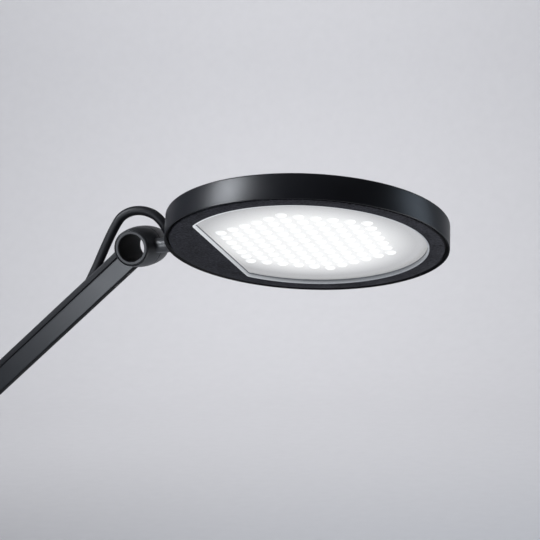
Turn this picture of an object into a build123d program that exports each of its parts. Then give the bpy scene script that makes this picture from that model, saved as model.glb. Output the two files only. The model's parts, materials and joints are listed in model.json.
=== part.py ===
from build123d import *

import os
from math import cos, pi, radians, sin, sqrt, tan

# Piano lamp with a weighted base, two swing arms and a round light head.
# Millimetres. +X is the lamp's reach, +Z is up, the origin is the centre of the base's underside.

os.makedirs("parts", exist_ok=True)

# ---- Clearances
RUN_FIT = 0.05      # radial, between a pin or sleeve and the bore that turns on it
SEAT_FIT = 0.1      # between pieces that sit in each other and don't move
BODY_GAP = 0.3      # between pieces that move past each other
STACK_GAP = 0.05    # between the layers of a stack

# ---- Pose at rest
SHOULDER_HEIGHT = 60.0
LOWER_ARM_LENGTH = 300.0    # shoulder axis to elbow axis
UPPER_ARM_LENGTH = 350.0    # elbow axis to head axis
LOWER_ARM_ANGLE = 104.0     # degrees above +X: leans back
UPPER_ARM_ANGLE = 39.8
NECK_ANGLE = 3.1
HEAD_ROLL = 22.3            # top of the head leans towards +Y

# ---- Hinge barrels
BARREL_R = 15.0             # at the parting plane
BARREL_END_R = 13.2
BARREL_LENGTH = 41.5
SLEEVE_BORE_R = 10.0
SLEEVE_R = 11.0
RING_R = 12.3
SLEEVE_FLANGE = 1.6
END_RING_DEPTH = 2.4
END_RING_FACE = 1.2
WAVE_WASHER = 0.75
FRICTION_DISC = 1.5
FRICTION_DISC_R = 13.3

# ---- Arms
ARM_OFFSET = 4.7            # arm's centre plane from the barrels' parting plane
ARM_THICKNESS = 9.0
ARM_HEIGHT = 15.0
ARM_EDGE_R = 1.2
ARM_WALL = 1.2
FLEX_R = 3.5
FLEX_RISE = 3.3             # flex's centre line above the arm's centre line
FLEX_FIT = 0.2
TONGUE_LENGTH = 30.0
SET_SCREW_R = 1.5
SET_SCREW_LENGTH = 3.0
SET_SCREW_STEPS = (24.0, 37.0)   # from the hinge axis
DUCT_WIDTH = 8.6
DUCT_HEIGHT = 3.6
DUCT_WALL = 1.2
DUCT_LEG = 0.8
DUCT_LEG_DEPTH = 1.5
DUCT_END = 17.5             # from the hinge axis
FLEX_LEAVES = 12.0          # the loose flex begins this far inside the duct from its first bend
SHOULDER_LOOP = ((34.0, 136.2), (33.8, 172.3), (36.0, 203.7))   # radius, degrees round the hinge
ELBOW_LOOP_R = 25.8
ELBOW_LOOP = (204.0, 176.0, 147.9, 119.7)
TILT_LOOP = ((29.8, 142.9), (28.4, 116.8), (26.2, 89.3), (24.4, 56.7))
SLOT_INNER = 10.0           # the slot reaches this far inside the duct from the first bend
SLOT_OUTER = 26.0

# ---- Neck and roll pin
NECK_R = 5.45
NECK_OFFSET = 5.8           # neck's axis from the barrels' parting plane
NECK_LENGTH = 28.0          # tilt axis to the head's rim
PIN_R = 3.5
ROLL_BUSH_R = 4.7
ROLL_BUSH_FLANGE = 1.0
ROLL_BOSS_LENGTH = 24.0     # from the rim's outer face
PIN_PAST_BOSS = 3.0
ROLL_BOSS_HALF = 6.3
CIRCLIP_THICKNESS = 0.8
CIRCLIP_DEPTH = 0.5
CIRCLIP_WIDTH = 2.3

# ---- Head, heights from its middle plane, the light points to -z
HEAD_R = 100.0
HEAD_HALF = 8.9
HEAD_WALL = 2.0
HEAD_TOP_EDGE_R = 1.2
HEAD_LIP_R = 0.5
BEZEL_GROOVE = 1.6          # between the bezel and the rim's inner face
BEZEL_WIDTH = 10.4
NECK_FIELD = 35.8           # dark field between the rim and the opening's straight edge
BEZEL_FACE = -8.6
BEZEL_SEAT = -7.1
BEZEL_RING_TOP = -6.0
LIGHT_CORNER_R = 3.0
LENS_FACE = -8.4
LENS_TOP = -6.3
LEDGE = 2.8                 # the optical stack overlaps the bezel's opening by this
CLIP_ANGLES = (69.0, 107.0, 135.0)
CLIP_DEPTH = 2.0
CLIP_LENGTH = 5.0
OPTIC_FACE = -4.9
OPTIC_TOP = -3.1
OPTIC_RIM = 2.5
DOME_R = 4.0
DOME_HEIGHT = 1.1
BOARD = 1.6
SPREADER = 1.6
RIB_WIDTH = 4.0
RIB_RADII = (22.0, 52.0)
LED_PITCH = 10.5
LED_ROW_PITCH = 10.5
LED_ROWS = 11
LED_LONGEST_ROW = 12
CHIP = 3.0
CHIP_HEIGHT = 0.8
HEAD_SCREW_INSET = 7.2      # inside the edge of the opening
HEAD_SCREW_ANGLES = (-112.0, -38.0, 38.0, 112.0)
M3_R = 1.5
M3_HEAD_R = 2.7
M3_HEAD = 1.0

# ---- Gland where the flex enters the head's rim
GLAND_SIDE = 11.6           # from the neck's axis
GLAND_HEIGHT = 1.5
GLAND_ANGLE = 25.0
GLAND_R = 4.9
GLAND_LIP_R = 6.0
GLAND_LIP = 0.8
GLAND_DEPTH = 2.5
FLEX_INSIDE_HEAD = 6.0
FLEX_BEFORE_HEAD = 6.5

# ---- Base
BASE_R = 112.0
BASE_HEIGHT = 18.0
COVER_WALL = 2.0
COVER_EDGE_R = 1.5
COVER_LIFT = 0.8            # cover's rim above the surface
PAD = 2.0
PAD_INSET = 0.5
WEIGHT_INSET = 0.4
WEIGHT_GAP = 0.2            # under the cover
POCKET_FLOOR = 4.5
WELL_R = 31.5
HUB_R = 14.0
TROUGH_WIDTH = 8.0
BASE_SCREW_INSET = 17.0
BASE_SCREW_ANGLE = 30.0
COVER_BOSS_R = 5.0
COVER_BOSS_HEIGHT = 6.0
M4_R = 2.0
M4_HEAD_R = 3.8
M4_HEAD = 2.6
M4_LENGTH = 11.5

# ---- Swivel
SWIVEL_PIN_R = 6.0
SWIVEL_BUSH_R = 8.0
SWIVEL_BUSH_FLANGE_R = 13.0
SWIVEL_BUSH_FLANGE = 1.5
SWIVEL_RECESS_R = 12.5
SWIVEL_RECESS = 2.0
SWIVEL_WASHER = 0.7
SWIVEL_WASHER_R = 11.0
SWIVEL_CIRCLIP_R = 8.5
COLLAR_R = 13.0
COLLAR_TOP = 20.0
COLUMN_R = 8.0
COLUMN_TOP = 38.0
COLUMN_TAPER = 4.0
CAP_R = 38.0
CAP_THICKNESS = 3.0
CAP_EDGE_R = 1.0
CAP_NECK_R = 12.0
CAP_TOP = 25.0
OUTLET_X = -24.0            # where the flex leaves the cap
OUTLET_R = 4.6
GROMMET_LIP_R = 6.2
GROMMET_LIP = 1.0
FLEX_FOOT = 15.0            # flex's lower end
FLEX_RISER = 31.5           # where it leans out above the cap

# ---- Dimmer and power
BUTTON_INSET = 34.0
BUTTON_R = 10.0
BUTTON_TOP = 19.5
BUTTON_FLANGE_R = 11.6
BUTTON_FLANGE = 1.2
BUTTON_STEM_R = 2.5
BUTTON_TRAVEL = 0.8
SPRING_R = 7.0
SPRING_WIRE_R = 0.4
SPRING_TURNS = 3.0
BOARD_LENGTH = 36.0
BOARD_WIDTH = 32.0
BOARD_HEIGHT = 6.0
POST_R = 2.5
POST_INSET = 4.0
SWITCH_SIDE = 6.0
SWITCH_HEIGHT = 3.0
PLUNGER_R = 1.7
PLUNGER_HEIGHT = 0.8
INLET_WIDTH = 12.0
INLET_HEIGHT = 9.0
INLET_LENGTH = 13.5
INLET_INSET = 3.0
INLET_NOSE_R = 4.2
JACK_R = 2.8
JACK_PIN_R = 1.0
JACK_DEPTH = 9.5
LEAD_R = 1.2
LEAD_CLEARANCE = 5.0        # between the hub and the lead's corners

# ---- Worked out from the sizes above
X, Y, Z = Vector(1, 0, 0), Vector(0, 1, 0), Vector(0, 0, 1)
MID_Y = -NECK_OFFSET                # barrels' parting plane: the column's neck stands at y = 0
NEAR, FAR = -1, 1                   # halves of a barrel, towards -Y and towards +Y


def heading(angle):
    """Direction in the XZ plane, at an angle above +X."""
    return Vector(cos(radians(angle)), 0, sin(radians(angle)))


NECK_REACH = HEAD_R + NECK_LENGTH       # tilt axis to the head's centre
LOWER_DIR = heading(LOWER_ARM_ANGLE)
UPPER_DIR = heading(UPPER_ARM_ANGLE)
NECK_DIR = heading(NECK_ANGLE)
SHOULDER = Vector(0, MID_Y, SHOULDER_HEIGHT)
ELBOW = SHOULDER + LOWER_DIR * LOWER_ARM_LENGTH
HEAD_JOINT = ELBOW + UPPER_DIR * UPPER_ARM_LENGTH
LOWER_ARM = Plane(SHOULDER - Y * ARM_OFFSET, x_dir=LOWER_DIR, z_dir=-Y)
UPPER_ARM = Plane(ELBOW + Y * ARM_OFFSET, x_dir=UPPER_DIR, z_dir=-Y)
HEAD_UP = heading(NECK_ANGLE + 90) * cos(radians(HEAD_ROLL)) + Y * sin(radians(HEAD_ROLL))
HEAD = Plane(HEAD_JOINT - Y * NECK_OFFSET + NECK_DIR * NECK_REACH, x_dir=NECK_DIR, z_dir=HEAD_UP)

CHANNEL_FLOOR = FLEX_RISE - FLEX_R - FLEX_FIT
CHANNEL_WIDTH = 2 * (FLEX_R + FLEX_FIT)
CELL_TOP = CHANNEL_FLOOR - ARM_WALL
CELL_FLOOR = ARM_WALL - ARM_HEIGHT / 2
CELL_WIDTH = ARM_THICKNESS - 2 * ARM_WALL
CELL_MIDDLE = (CELL_TOP + CELL_FLOOR) / 2
RING_SEAT = END_RING_DEPTH + WAVE_WASHER + 2 * STACK_GAP
HEAD_CAVITY_R = HEAD_R - HEAD_WALL
HEAD_CAVITY_TOP = HEAD_HALF - HEAD_WALL
BEZEL_R = HEAD_CAVITY_R - BEZEL_GROOVE
LIGHT_R = BEZEL_R - BEZEL_WIDTH
LIGHT_CHORD = NECK_FIELD - HEAD_R       # the opening's straight edge, on the neck's side
HEAD_SCREW_CIRCLE_R = LIGHT_R - HEAD_SCREW_INSET
ROLL_BOSS_END = HEAD_R - ROLL_BOSS_LENGTH
PIN_END = ROLL_BOSS_END - PIN_PAST_BOSS
STACK_R = LIGHT_R + LEDGE
STACK_CHORD = LIGHT_CHORD - LEDGE
WEIGHT_TOP = BASE_HEIGHT - COVER_WALL - WEIGHT_GAP
COVER_INNER_R = BASE_R - COVER_WALL
BASE_SCREW_CIRCLE_R = BASE_R - BASE_SCREW_INSET
BUTTON_X = BASE_R - BUTTON_INSET
INLET_BACK = BASE_R - INLET_INSET
CAP_FLOOR = BASE_HEIGHT + BODY_GAP
COLLAR_FLOOR = WEIGHT_TOP + SWIVEL_BUSH_FLANGE + STACK_GAP


def save(piece, name):
    """Label a finished piece and write it."""
    piece.part.label = name
    export_step(piece.part, f"parts/{name}.step")


def cross_section(arm, along):
    """Plane across an arm, local x towards +Y and local y towards the flex."""
    return Plane(arm.from_local_coords((along, 0, 0)), x_dir=Y, z_dir=arm.x_dir)


# ---- Base

def foot_pad():
    with BuildPart() as pad:
        with BuildSketch():
            Circle(COVER_INNER_R - PAD_INSET)
        extrude(amount=PAD)
    save(pad, "foot_pad")


def base_weight():
    pocket_height = WEIGHT_TOP - POCKET_FLOOR
    pocket_length = BOARD_LENGTH + 2 * SEAT_FIT
    inlet_pocket = COVER_INNER_R - INLET_BACK + INLET_LENGTH + SEAT_FIT
    with BuildPart() as weight:
        with BuildSketch(Plane.XY.offset(PAD)):
            Circle(COVER_INNER_R - WEIGHT_INSET)
        extrude(amount=WEIGHT_TOP - PAD)
        with BuildSketch(Plane.XY.offset(POCKET_FLOOR)):
            Circle(WELL_R)
            with Locations((BUTTON_X, 0)):
                Rectangle(pocket_length, BOARD_WIDTH + 2 * SEAT_FIT)
            with Locations((-COVER_INNER_R, 0)):
                Rectangle(2 * inlet_pocket, INLET_WIDTH + 2 * SEAT_FIT)
            with Locations(((BUTTON_X - INLET_BACK) / 2, 0)):
                Rectangle(BUTTON_X + INLET_BACK, TROUGH_WIDTH)
            Circle(HUB_R, mode=Mode.SUBTRACT)
        extrude(amount=pocket_height, mode=Mode.SUBTRACT)
        with BuildSketch(Plane.XY.offset(POCKET_FLOOR)):
            with Locations((BUTTON_X, 0)):
                with GridLocations(BOARD_LENGTH - 2 * POST_INSET, BOARD_WIDTH - 2 * POST_INSET, 2, 2):
                    Circle(POST_R)
        extrude(amount=BOARD_HEIGHT - POCKET_FLOOR)
        with BuildSketch(Plane.XY.offset(PAD)):
            Circle(SWIVEL_RECESS_R)
        extrude(amount=SWIVEL_RECESS, mode=Mode.SUBTRACT)
        with BuildSketch(Plane.XY.offset(PAD)):
            Circle(SWIVEL_BUSH_R + SEAT_FIT)
            with PolarLocations(BASE_SCREW_CIRCLE_R, 3, BASE_SCREW_ANGLE):
                Circle(M4_R + SEAT_FIT)
        extrude(amount=WEIGHT_TOP - PAD, mode=Mode.SUBTRACT)
        with BuildSketch(Plane.XY.offset(BASE_HEIGHT - COVER_WALL - COVER_BOSS_HEIGHT - SEAT_FIT)):
            with PolarLocations(BASE_SCREW_CIRCLE_R, 3, BASE_SCREW_ANGLE):
                Circle(COVER_BOSS_R + SEAT_FIT)
        extrude(amount=COVER_BOSS_HEIGHT, mode=Mode.SUBTRACT)
        with BuildSketch(Plane.XY.offset(PAD)):
            with PolarLocations(BASE_SCREW_CIRCLE_R, 3, BASE_SCREW_ANGLE):
                Circle(M4_HEAD_R + SEAT_FIT)
        extrude(amount=M4_HEAD + STACK_GAP, mode=Mode.SUBTRACT)
    save(weight, "base_weight")


def base_cover():
    with BuildPart() as cover:
        with BuildSketch(Plane.XY.offset(COVER_LIFT)):
            Circle(BASE_R)
        extrude(amount=BASE_HEIGHT - COVER_LIFT)
        fillet(cover.edges().group_by(Axis.Z)[-1], COVER_EDGE_R)
        with BuildSketch(Plane.XY.offset(COVER_LIFT)):
            Circle(COVER_INNER_R)
        extrude(amount=BASE_HEIGHT - COVER_WALL - COVER_LIFT, mode=Mode.SUBTRACT)
        with BuildSketch(Plane.XY.offset(BASE_HEIGHT - COVER_WALL - COVER_BOSS_HEIGHT)):
            with PolarLocations(BASE_SCREW_CIRCLE_R, 3, BASE_SCREW_ANGLE):
                Circle(COVER_BOSS_R)
                Circle(M4_R + STACK_GAP, mode=Mode.SUBTRACT)
        extrude(amount=COVER_BOSS_HEIGHT)
        with BuildSketch(Plane.XY.offset(BASE_HEIGHT - COVER_WALL)):
            Circle(WELL_R)
            with Locations((BUTTON_X, 0)):
                Circle(BUTTON_R + BODY_GAP)
        extrude(amount=COVER_WALL, mode=Mode.SUBTRACT)
        with BuildSketch(Plane.YZ.offset(-BASE_R)):
            with Locations((0, POCKET_FLOOR + INLET_HEIGHT / 2)):
                Circle(INLET_NOSE_R + SEAT_FIT)
        extrude(amount=2 * COVER_WALL, mode=Mode.SUBTRACT)
    save(cover, "base_cover")


def base_screws():
    head_floor = PAD + STACK_GAP
    with BuildPart() as screws:
        with BuildSketch(Plane.XY.offset(head_floor)):
            with PolarLocations(BASE_SCREW_CIRCLE_R, 3, BASE_SCREW_ANGLE):
                Circle(M4_HEAD_R)
                RegularPolygon(M4_R, 6, mode=Mode.SUBTRACT)
        extrude(amount=M4_HEAD / 2)
        with BuildSketch(Plane.XY.offset(head_floor + M4_HEAD / 2)):
            with PolarLocations(BASE_SCREW_CIRCLE_R, 3, BASE_SCREW_ANGLE):
                Circle(M4_HEAD_R)
        extrude(amount=M4_HEAD / 2)
        with BuildSketch(Plane.XY.offset(head_floor + M4_HEAD)):
            with PolarLocations(BASE_SCREW_CIRCLE_R, 3, BASE_SCREW_ANGLE):
                Circle(M4_R)
        extrude(amount=M4_LENGTH - M4_HEAD)
    save(screws, "base_screws")


def swivel_bush():
    with BuildPart() as bush:
        with BuildSketch(Plane.XY.offset(PAD + SWIVEL_RECESS)):
            Circle(SWIVEL_BUSH_R)
            Circle(SWIVEL_PIN_R + RUN_FIT, mode=Mode.SUBTRACT)
        extrude(amount=WEIGHT_TOP - PAD - SWIVEL_RECESS)
        with BuildSketch(Plane.XY.offset(WEIGHT_TOP)):
            Circle(SWIVEL_BUSH_FLANGE_R)
            Circle(SWIVEL_PIN_R + RUN_FIT, mode=Mode.SUBTRACT)
        extrude(amount=SWIVEL_BUSH_FLANGE)
    save(bush, "swivel_bush")


def swivel_washer():
    with BuildPart() as washer:
        with BuildSketch(Plane.XY.offset(PAD + SWIVEL_RECESS - STACK_GAP)):
            Circle(SWIVEL_WASHER_R)
            Circle(SWIVEL_PIN_R + RUN_FIT, mode=Mode.SUBTRACT)
        extrude(amount=-SWIVEL_WASHER)
    save(washer, "swivel_washer")


def swivel_circlip():
    top = PAD + SWIVEL_RECESS - SWIVEL_WASHER - 2 * STACK_GAP
    with BuildPart() as circlip:
        with BuildSketch(Plane.XY.offset(top)):
            Circle(SWIVEL_CIRCLIP_R)
            Circle(SWIVEL_PIN_R - CIRCLIP_DEPTH + RUN_FIT, mode=Mode.SUBTRACT)
            with Locations((SWIVEL_CIRCLIP_R, 0)):
                Rectangle(2 * CIRCLIP_WIDTH, 2 * CIRCLIP_WIDTH, mode=Mode.SUBTRACT)
        extrude(amount=-CIRCLIP_THICKNESS)
    save(circlip, "swivel_circlip")


def dimmer_button():
    flange_top = BASE_HEIGHT - COVER_WALL - STACK_GAP
    switch_top = BOARD_HEIGHT + BOARD + SWITCH_HEIGHT + PLUNGER_HEIGHT
    with BuildPart() as button:
        with BuildSketch(Plane.XY.offset(flange_top - BUTTON_FLANGE)):
            with Locations((BUTTON_X, 0)):
                Circle(BUTTON_FLANGE_R)
        extrude(amount=BUTTON_FLANGE)
        with BuildSketch(Plane.XY.offset(flange_top)):
            with Locations((BUTTON_X, 0)):
                Circle(BUTTON_R)
        extrude(amount=BUTTON_TOP - flange_top)
        fillet(button.edges().group_by(Axis.Z)[-1], RUN_FIT + COVER_EDGE_R / 2)
        with BuildSketch(Plane.XY.offset(switch_top + BUTTON_TRAVEL + SEAT_FIT)):
            with Locations((BUTTON_X, 0)):
                Circle(BUTTON_STEM_R)
        extrude(amount=flange_top - switch_top - BUTTON_TRAVEL - SEAT_FIT)
    save(button, "dimmer_button")


def button_spring():
    foot = BOARD_HEIGHT + BOARD
    height = BASE_HEIGHT - COVER_WALL - BUTTON_FLANGE - foot - 2 * SPRING_WIRE_R - 2 * STACK_GAP
    with BuildPart() as spring:
        with BuildLine(Plane((BUTTON_X, 0, foot + SPRING_WIRE_R + STACK_GAP))):
            coil = Helix(pitch=height / SPRING_TURNS, height=height, radius=SPRING_R)
        with BuildSketch(Plane(coil @ 0, z_dir=coil % 0)):
            Circle(SPRING_WIRE_R)
        sweep(path=coil, is_frenet=True)
    save(spring, "button_spring")


def button_switch():
    with BuildPart() as switch:
        with BuildSketch(Plane.XY.offset(BOARD_HEIGHT + BOARD)):
            with Locations((BUTTON_X, 0)):
                Rectangle(SWITCH_SIDE, SWITCH_SIDE)
        extrude(amount=SWITCH_HEIGHT)
        with BuildSketch(Plane.XY.offset(BOARD_HEIGHT + BOARD + SWITCH_HEIGHT)):
            with Locations((BUTTON_X, 0)):
                Circle(PLUNGER_R)
        extrude(amount=PLUNGER_HEIGHT)
    save(switch, "button_switch")


def control_board():
    with BuildPart() as board:
        with BuildSketch(Plane.XY.offset(BOARD_HEIGHT)):
            with Locations((BUTTON_X, 0)):
                Rectangle(BOARD_LENGTH, BOARD_WIDTH)
        extrude(amount=BOARD)
    save(board, "control_board")


def power_inlet():
    middle = POCKET_FLOOR + INLET_HEIGHT / 2
    with BuildPart() as inlet:
        with BuildSketch(Plane.YZ.offset(-INLET_BACK)):
            with Locations((0, middle)):
                Rectangle(INLET_WIDTH, INLET_HEIGHT)
        extrude(amount=INLET_LENGTH)
        with BuildSketch(Plane.YZ.offset(-BASE_R + SEAT_FIT)):
            with Locations((0, middle)):
                Circle(INLET_NOSE_R)
        extrude(amount=BASE_R - SEAT_FIT - INLET_BACK)
        with BuildSketch(Plane.YZ.offset(-BASE_R + SEAT_FIT)):
            with Locations((0, middle)):
                Circle(JACK_R)
        extrude(amount=JACK_DEPTH, mode=Mode.SUBTRACT)
        with BuildSketch(Plane.YZ.offset(-BASE_R + JACK_R)):
            with Locations((0, middle)):
                Circle(JACK_PIN_R)
        extrude(amount=JACK_DEPTH)
    save(inlet, "power_inlet")


# ---- Column

def column_knuckle():
    pin_foot = PAD + STACK_GAP
    groove_top = PAD + SWIVEL_RECESS - SWIVEL_WASHER - STACK_GAP
    groove_floor = groove_top - CIRCLIP_THICKNESS - 2 * STACK_GAP
    groove_r = SWIVEL_PIN_R - CIRCLIP_DEPTH
    with BuildPart() as column:
        with BuildSketch(Plane.XZ):
            with BuildLine():
                Polyline(
                    (0, pin_foot),
                    (SWIVEL_PIN_R, pin_foot),
                    (SWIVEL_PIN_R, groove_floor),
                    (groove_r, groove_floor),
                    (groove_r, groove_top),
                    (SWIVEL_PIN_R, groove_top),
                    (SWIVEL_PIN_R, COLLAR_FLOOR),
                    (COLLAR_R, COLLAR_FLOOR),
                    (COLLAR_R, COLLAR_TOP),
                    (COLUMN_R, COLLAR_TOP),
                    (COLUMN_R, COLUMN_TOP),
                    (NECK_R, COLUMN_TOP + COLUMN_TAPER),
                    (NECK_R, SHOULDER_HEIGHT),
                    (0, SHOULDER_HEIGHT),
                    close=True,
                )
            make_face()
        revolve(axis=Axis.Z)
        revolve(barrel_outline(SHOULDER, FAR), axis=barrel_axis(SHOULDER))
        revolve(turning_bore(SHOULDER, FAR), axis=barrel_axis(SHOULDER), mode=Mode.SUBTRACT)
    save(column, "column_knuckle")


def swivel_cap():
    with BuildPart() as cap:
        with BuildSketch(Plane.XY.offset(CAP_FLOOR)):
            Circle(CAP_R)
        extrude(amount=CAP_THICKNESS)
        fillet(cap.edges().group_by(Axis.Z)[-1], CAP_EDGE_R)
        with BuildSketch(Plane.XY.offset(CAP_FLOOR)):
            Circle(CAP_NECK_R)
        extrude(amount=CAP_TOP - CAP_FLOOR)
        fillet(cap.edges().group_by(Axis.Z)[-1], CAP_EDGE_R)
        with BuildSketch(Plane.XY.offset(CAP_FLOOR)):
            Circle(COLLAR_R + STACK_GAP)
        extrude(amount=COLLAR_TOP - CAP_FLOOR, mode=Mode.SUBTRACT)
        with BuildSketch(Plane.XY.offset(CAP_FLOOR)):
            Circle(COLUMN_R + STACK_GAP)
            with Locations((OUTLET_X, MID_Y - ARM_OFFSET)):
                Circle(OUTLET_R)
        extrude(amount=CAP_TOP - CAP_FLOOR, mode=Mode.SUBTRACT)
    save(cap, "swivel_cap")


def cap_grommet():
    with BuildPart() as grommet:
        with BuildSketch(Plane.XY.offset(CAP_FLOOR)):
            with Locations((OUTLET_X, MID_Y - ARM_OFFSET)):
                Circle(OUTLET_R - STACK_GAP)
                Circle(FLEX_R + STACK_GAP, mode=Mode.SUBTRACT)
        extrude(amount=CAP_THICKNESS)
        with BuildSketch(Plane.XY.offset(CAP_FLOOR + CAP_THICKNESS)):
            with Locations((OUTLET_X, MID_Y - ARM_OFFSET)):
                Circle(GROMMET_LIP_R)
                Circle(FLEX_R + STACK_GAP, mode=Mode.SUBTRACT)
        extrude(amount=GROMMET_LIP)
    save(grommet, "cap_grommet")


# ---- Hinges

def barrel_axis(centre):
    return Axis(centre, Y)


def barrel_plane(centre):
    """Plane through a hinge's axis, local y along the axis."""
    return Plane(centre, x_dir=X, z_dir=Z)


def barrel_outline(centre, side):
    """Outer shape of one half of a barrel, fullest at the parting plane."""
    start = side * BODY_GAP / 2
    end = side * BARREL_LENGTH / 2
    middle_r = BARREL_R - (BARREL_R - BARREL_END_R) / 4
    with BuildSketch(barrel_plane(centre)) as outline:
        with BuildLine():
            ThreePointArc((BARREL_R, start), (middle_r, (start + end) / 2), (BARREL_END_R, end))
            Polyline((BARREL_END_R, end), (0, end), (0, start), (BARREL_R, start))
        make_face()
    return outline.sketch


def stepped_bore(centre, side, seat_r, seat_depth, pocket_r):
    """Cut for one half of a barrel: friction pocket, bore for the sleeve, and seat at the end."""
    pocket = side * (FRICTION_DISC / 2 + STACK_GAP)
    seat = side * (BARREL_LENGTH / 2 - seat_depth)
    end = side * BARREL_LENGTH / 2
    bore_r = SLEEVE_R + RUN_FIT
    with BuildSketch(barrel_plane(centre)) as cut:
        with BuildLine():
            Polyline(
                (0, 0),
                (pocket_r, 0),
                (pocket_r, pocket),
                (bore_r, pocket),
                (bore_r, seat),
                (seat_r, seat),
                (seat_r, end + side),
                (0, end + side),
                close=True,
            )
        make_face()
    return cut.sketch


def fixed_bore(centre, side):
    """Bore of the half that holds the sleeve by its flange."""
    return stepped_bore(centre, side, RING_R + STACK_GAP, SLEEVE_FLANGE, FRICTION_DISC_R + STACK_GAP)


def turning_bore(centre, side):
    """Bore of the half that turns on the sleeve, under the end ring."""
    return stepped_bore(centre, side, RING_R + BODY_GAP, RING_SEAT, FRICTION_DISC_R + BODY_GAP)


def arm_knuckle(name, centre, side, arm, along, bore):
    """Half barrel with a tongue that slides into the end of an arm."""
    inward = 1 if along == 0 else -1
    tongue_width = CELL_WIDTH - 2 * SEAT_FIT
    tongue_height = CELL_TOP - CELL_FLOOR - 2 * SEAT_FIT
    with BuildPart() as knuckle:
        revolve(barrel_outline(centre, side), axis=barrel_axis(centre))
        with BuildSketch(cross_section(arm, along)):
            with Locations((0, CELL_MIDDLE)):
                Rectangle(tongue_width, tongue_height)
        extrude(amount=inward * (BARREL_R + TONGUE_LENGTH))
        revolve(bore(centre, side), axis=barrel_axis(centre), mode=Mode.SUBTRACT)
        with BuildSketch(Plane(arm.origin, x_dir=arm.x_dir, z_dir=arm.y_dir).offset(CELL_FLOOR)):
            with Locations([(along + inward * step, 0) for step in SET_SCREW_STEPS]):
                Circle(SET_SCREW_R + STACK_GAP)
        extrude(amount=SET_SCREW_LENGTH - ARM_WALL + SEAT_FIT, mode=Mode.SUBTRACT)
    save(knuckle, name)


def hinge_sleeve(name, centre, side):
    """Hollow axle of a hinge, with its flange in the fixed half."""
    flanged_end = side * BARREL_LENGTH / 2
    plain_end = -side * (BARREL_LENGTH / 2 - END_RING_FACE - STACK_GAP)
    with BuildPart() as sleeve:
        with BuildSketch(barrel_plane(centre)):
            with BuildLine():
                Polyline(
                    (SLEEVE_BORE_R, plain_end),
                    (SLEEVE_R, plain_end),
                    (SLEEVE_R, flanged_end - side * SLEEVE_FLANGE),
                    (RING_R, flanged_end - side * SLEEVE_FLANGE),
                    (RING_R, flanged_end),
                    (SLEEVE_BORE_R, flanged_end),
                    close=True,
                )
            make_face()
        revolve(axis=barrel_axis(centre))
    save(sleeve, name)


def hinge_end_ring(name, centre, side):
    """Ring screwed over the sleeve's plain end."""
    end = -side * BARREL_LENGTH / 2
    face = end + side * END_RING_FACE
    back = end + side * END_RING_DEPTH
    with BuildPart() as ring:
        with BuildSketch(barrel_plane(centre)):
            with BuildLine():
                Polyline(
                    (SLEEVE_BORE_R, end),
                    (RING_R, end),
                    (RING_R, back),
                    (SLEEVE_R + STACK_GAP, back),
                    (SLEEVE_R + STACK_GAP, face),
                    (SLEEVE_BORE_R, face),
                    close=True,
                )
            make_face()
        revolve(axis=barrel_axis(centre))
    save(ring, name)


def hinge_washer(name, centre, start, thickness, radius):
    """Flat ring round a sleeve, from one place on the hinge axis."""
    with BuildPart() as washer:
        with BuildSketch(Plane(centre + Y * start, x_dir=X, z_dir=Y)):
            Circle(radius)
            Circle(SLEEVE_R + STACK_GAP, mode=Mode.SUBTRACT)
        extrude(amount=thickness)
    save(washer, name)


def hinge_hardware(prefix, centre, side):
    """Sleeve, end ring, wave washer and friction disc of one hinge; side holds the sleeve."""
    hinge_sleeve(f"{prefix}_sleeve", centre, side)
    hinge_end_ring(f"{prefix}_end_ring", centre, side)
    ring_back = -side * (BARREL_LENGTH / 2 - END_RING_DEPTH - STACK_GAP)
    hinge_washer(f"{prefix}_wave_washer", centre, ring_back, side * WAVE_WASHER, RING_R)
    hinge_washer(
        f"{prefix}_friction_disc", centre, -side * FRICTION_DISC / 2, side * FRICTION_DISC, FRICTION_DISC_R
    )


# ---- Arms

def arm_profile(name, arm, length):
    """Extruded bar: closed lower cell for the tongues, open upper channel for the flex."""
    screw_places = [(step, 0) for step in SET_SCREW_STEPS]
    screw_places += [(length - step, 0) for step in SET_SCREW_STEPS]
    channel_height = ARM_HEIGHT / 2 - CHANNEL_FLOOR
    with BuildPart() as profile:
        with BuildSketch(cross_section(arm, 0)):
            RectangleRounded(ARM_THICKNESS, ARM_HEIGHT, ARM_EDGE_R)
            with Locations((0, CELL_MIDDLE)):
                Rectangle(CELL_WIDTH, CELL_TOP - CELL_FLOOR, mode=Mode.SUBTRACT)
            with Locations((0, CHANNEL_FLOOR + channel_height)):
                Rectangle(CHANNEL_WIDTH, 2 * channel_height, mode=Mode.SUBTRACT)
        extrude(amount=length)
        with BuildSketch(arm):
            with Locations((0, 0), (length, 0)):
                Circle(BARREL_R + SEAT_FIT)
        extrude(amount=ARM_THICKNESS, both=True, mode=Mode.SUBTRACT)
        with BuildSketch(Plane(arm.origin, x_dir=arm.x_dir, z_dir=arm.y_dir).offset(-ARM_HEIGHT / 2)):
            with Locations(screw_places):
                Circle(SET_SCREW_R + STACK_GAP)
        extrude(amount=ARM_WALL, mode=Mode.SUBTRACT)
    save(profile, name)


def arm_screws(name, arm, length):
    """Set screws that hold both tongues, through the arm's underside."""
    places = [(step, 0) for step in SET_SCREW_STEPS]
    places += [(length - step, 0) for step in SET_SCREW_STEPS]
    underside = Plane(arm.origin, x_dir=arm.x_dir, z_dir=arm.y_dir).offset(-ARM_HEIGHT / 2)
    with BuildPart() as screws:
        with BuildSketch(underside):
            with Locations(places):
                Circle(SET_SCREW_R)
                RegularPolygon(SET_SCREW_R / 2, 6, mode=Mode.SUBTRACT)
        extrude(amount=SET_SCREW_LENGTH / 2)
        with BuildSketch(underside.offset(SET_SCREW_LENGTH / 2)):
            with Locations(places):
                Circle(SET_SCREW_R)
        extrude(amount=SET_SCREW_LENGTH / 2)
    save(screws, name)


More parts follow.
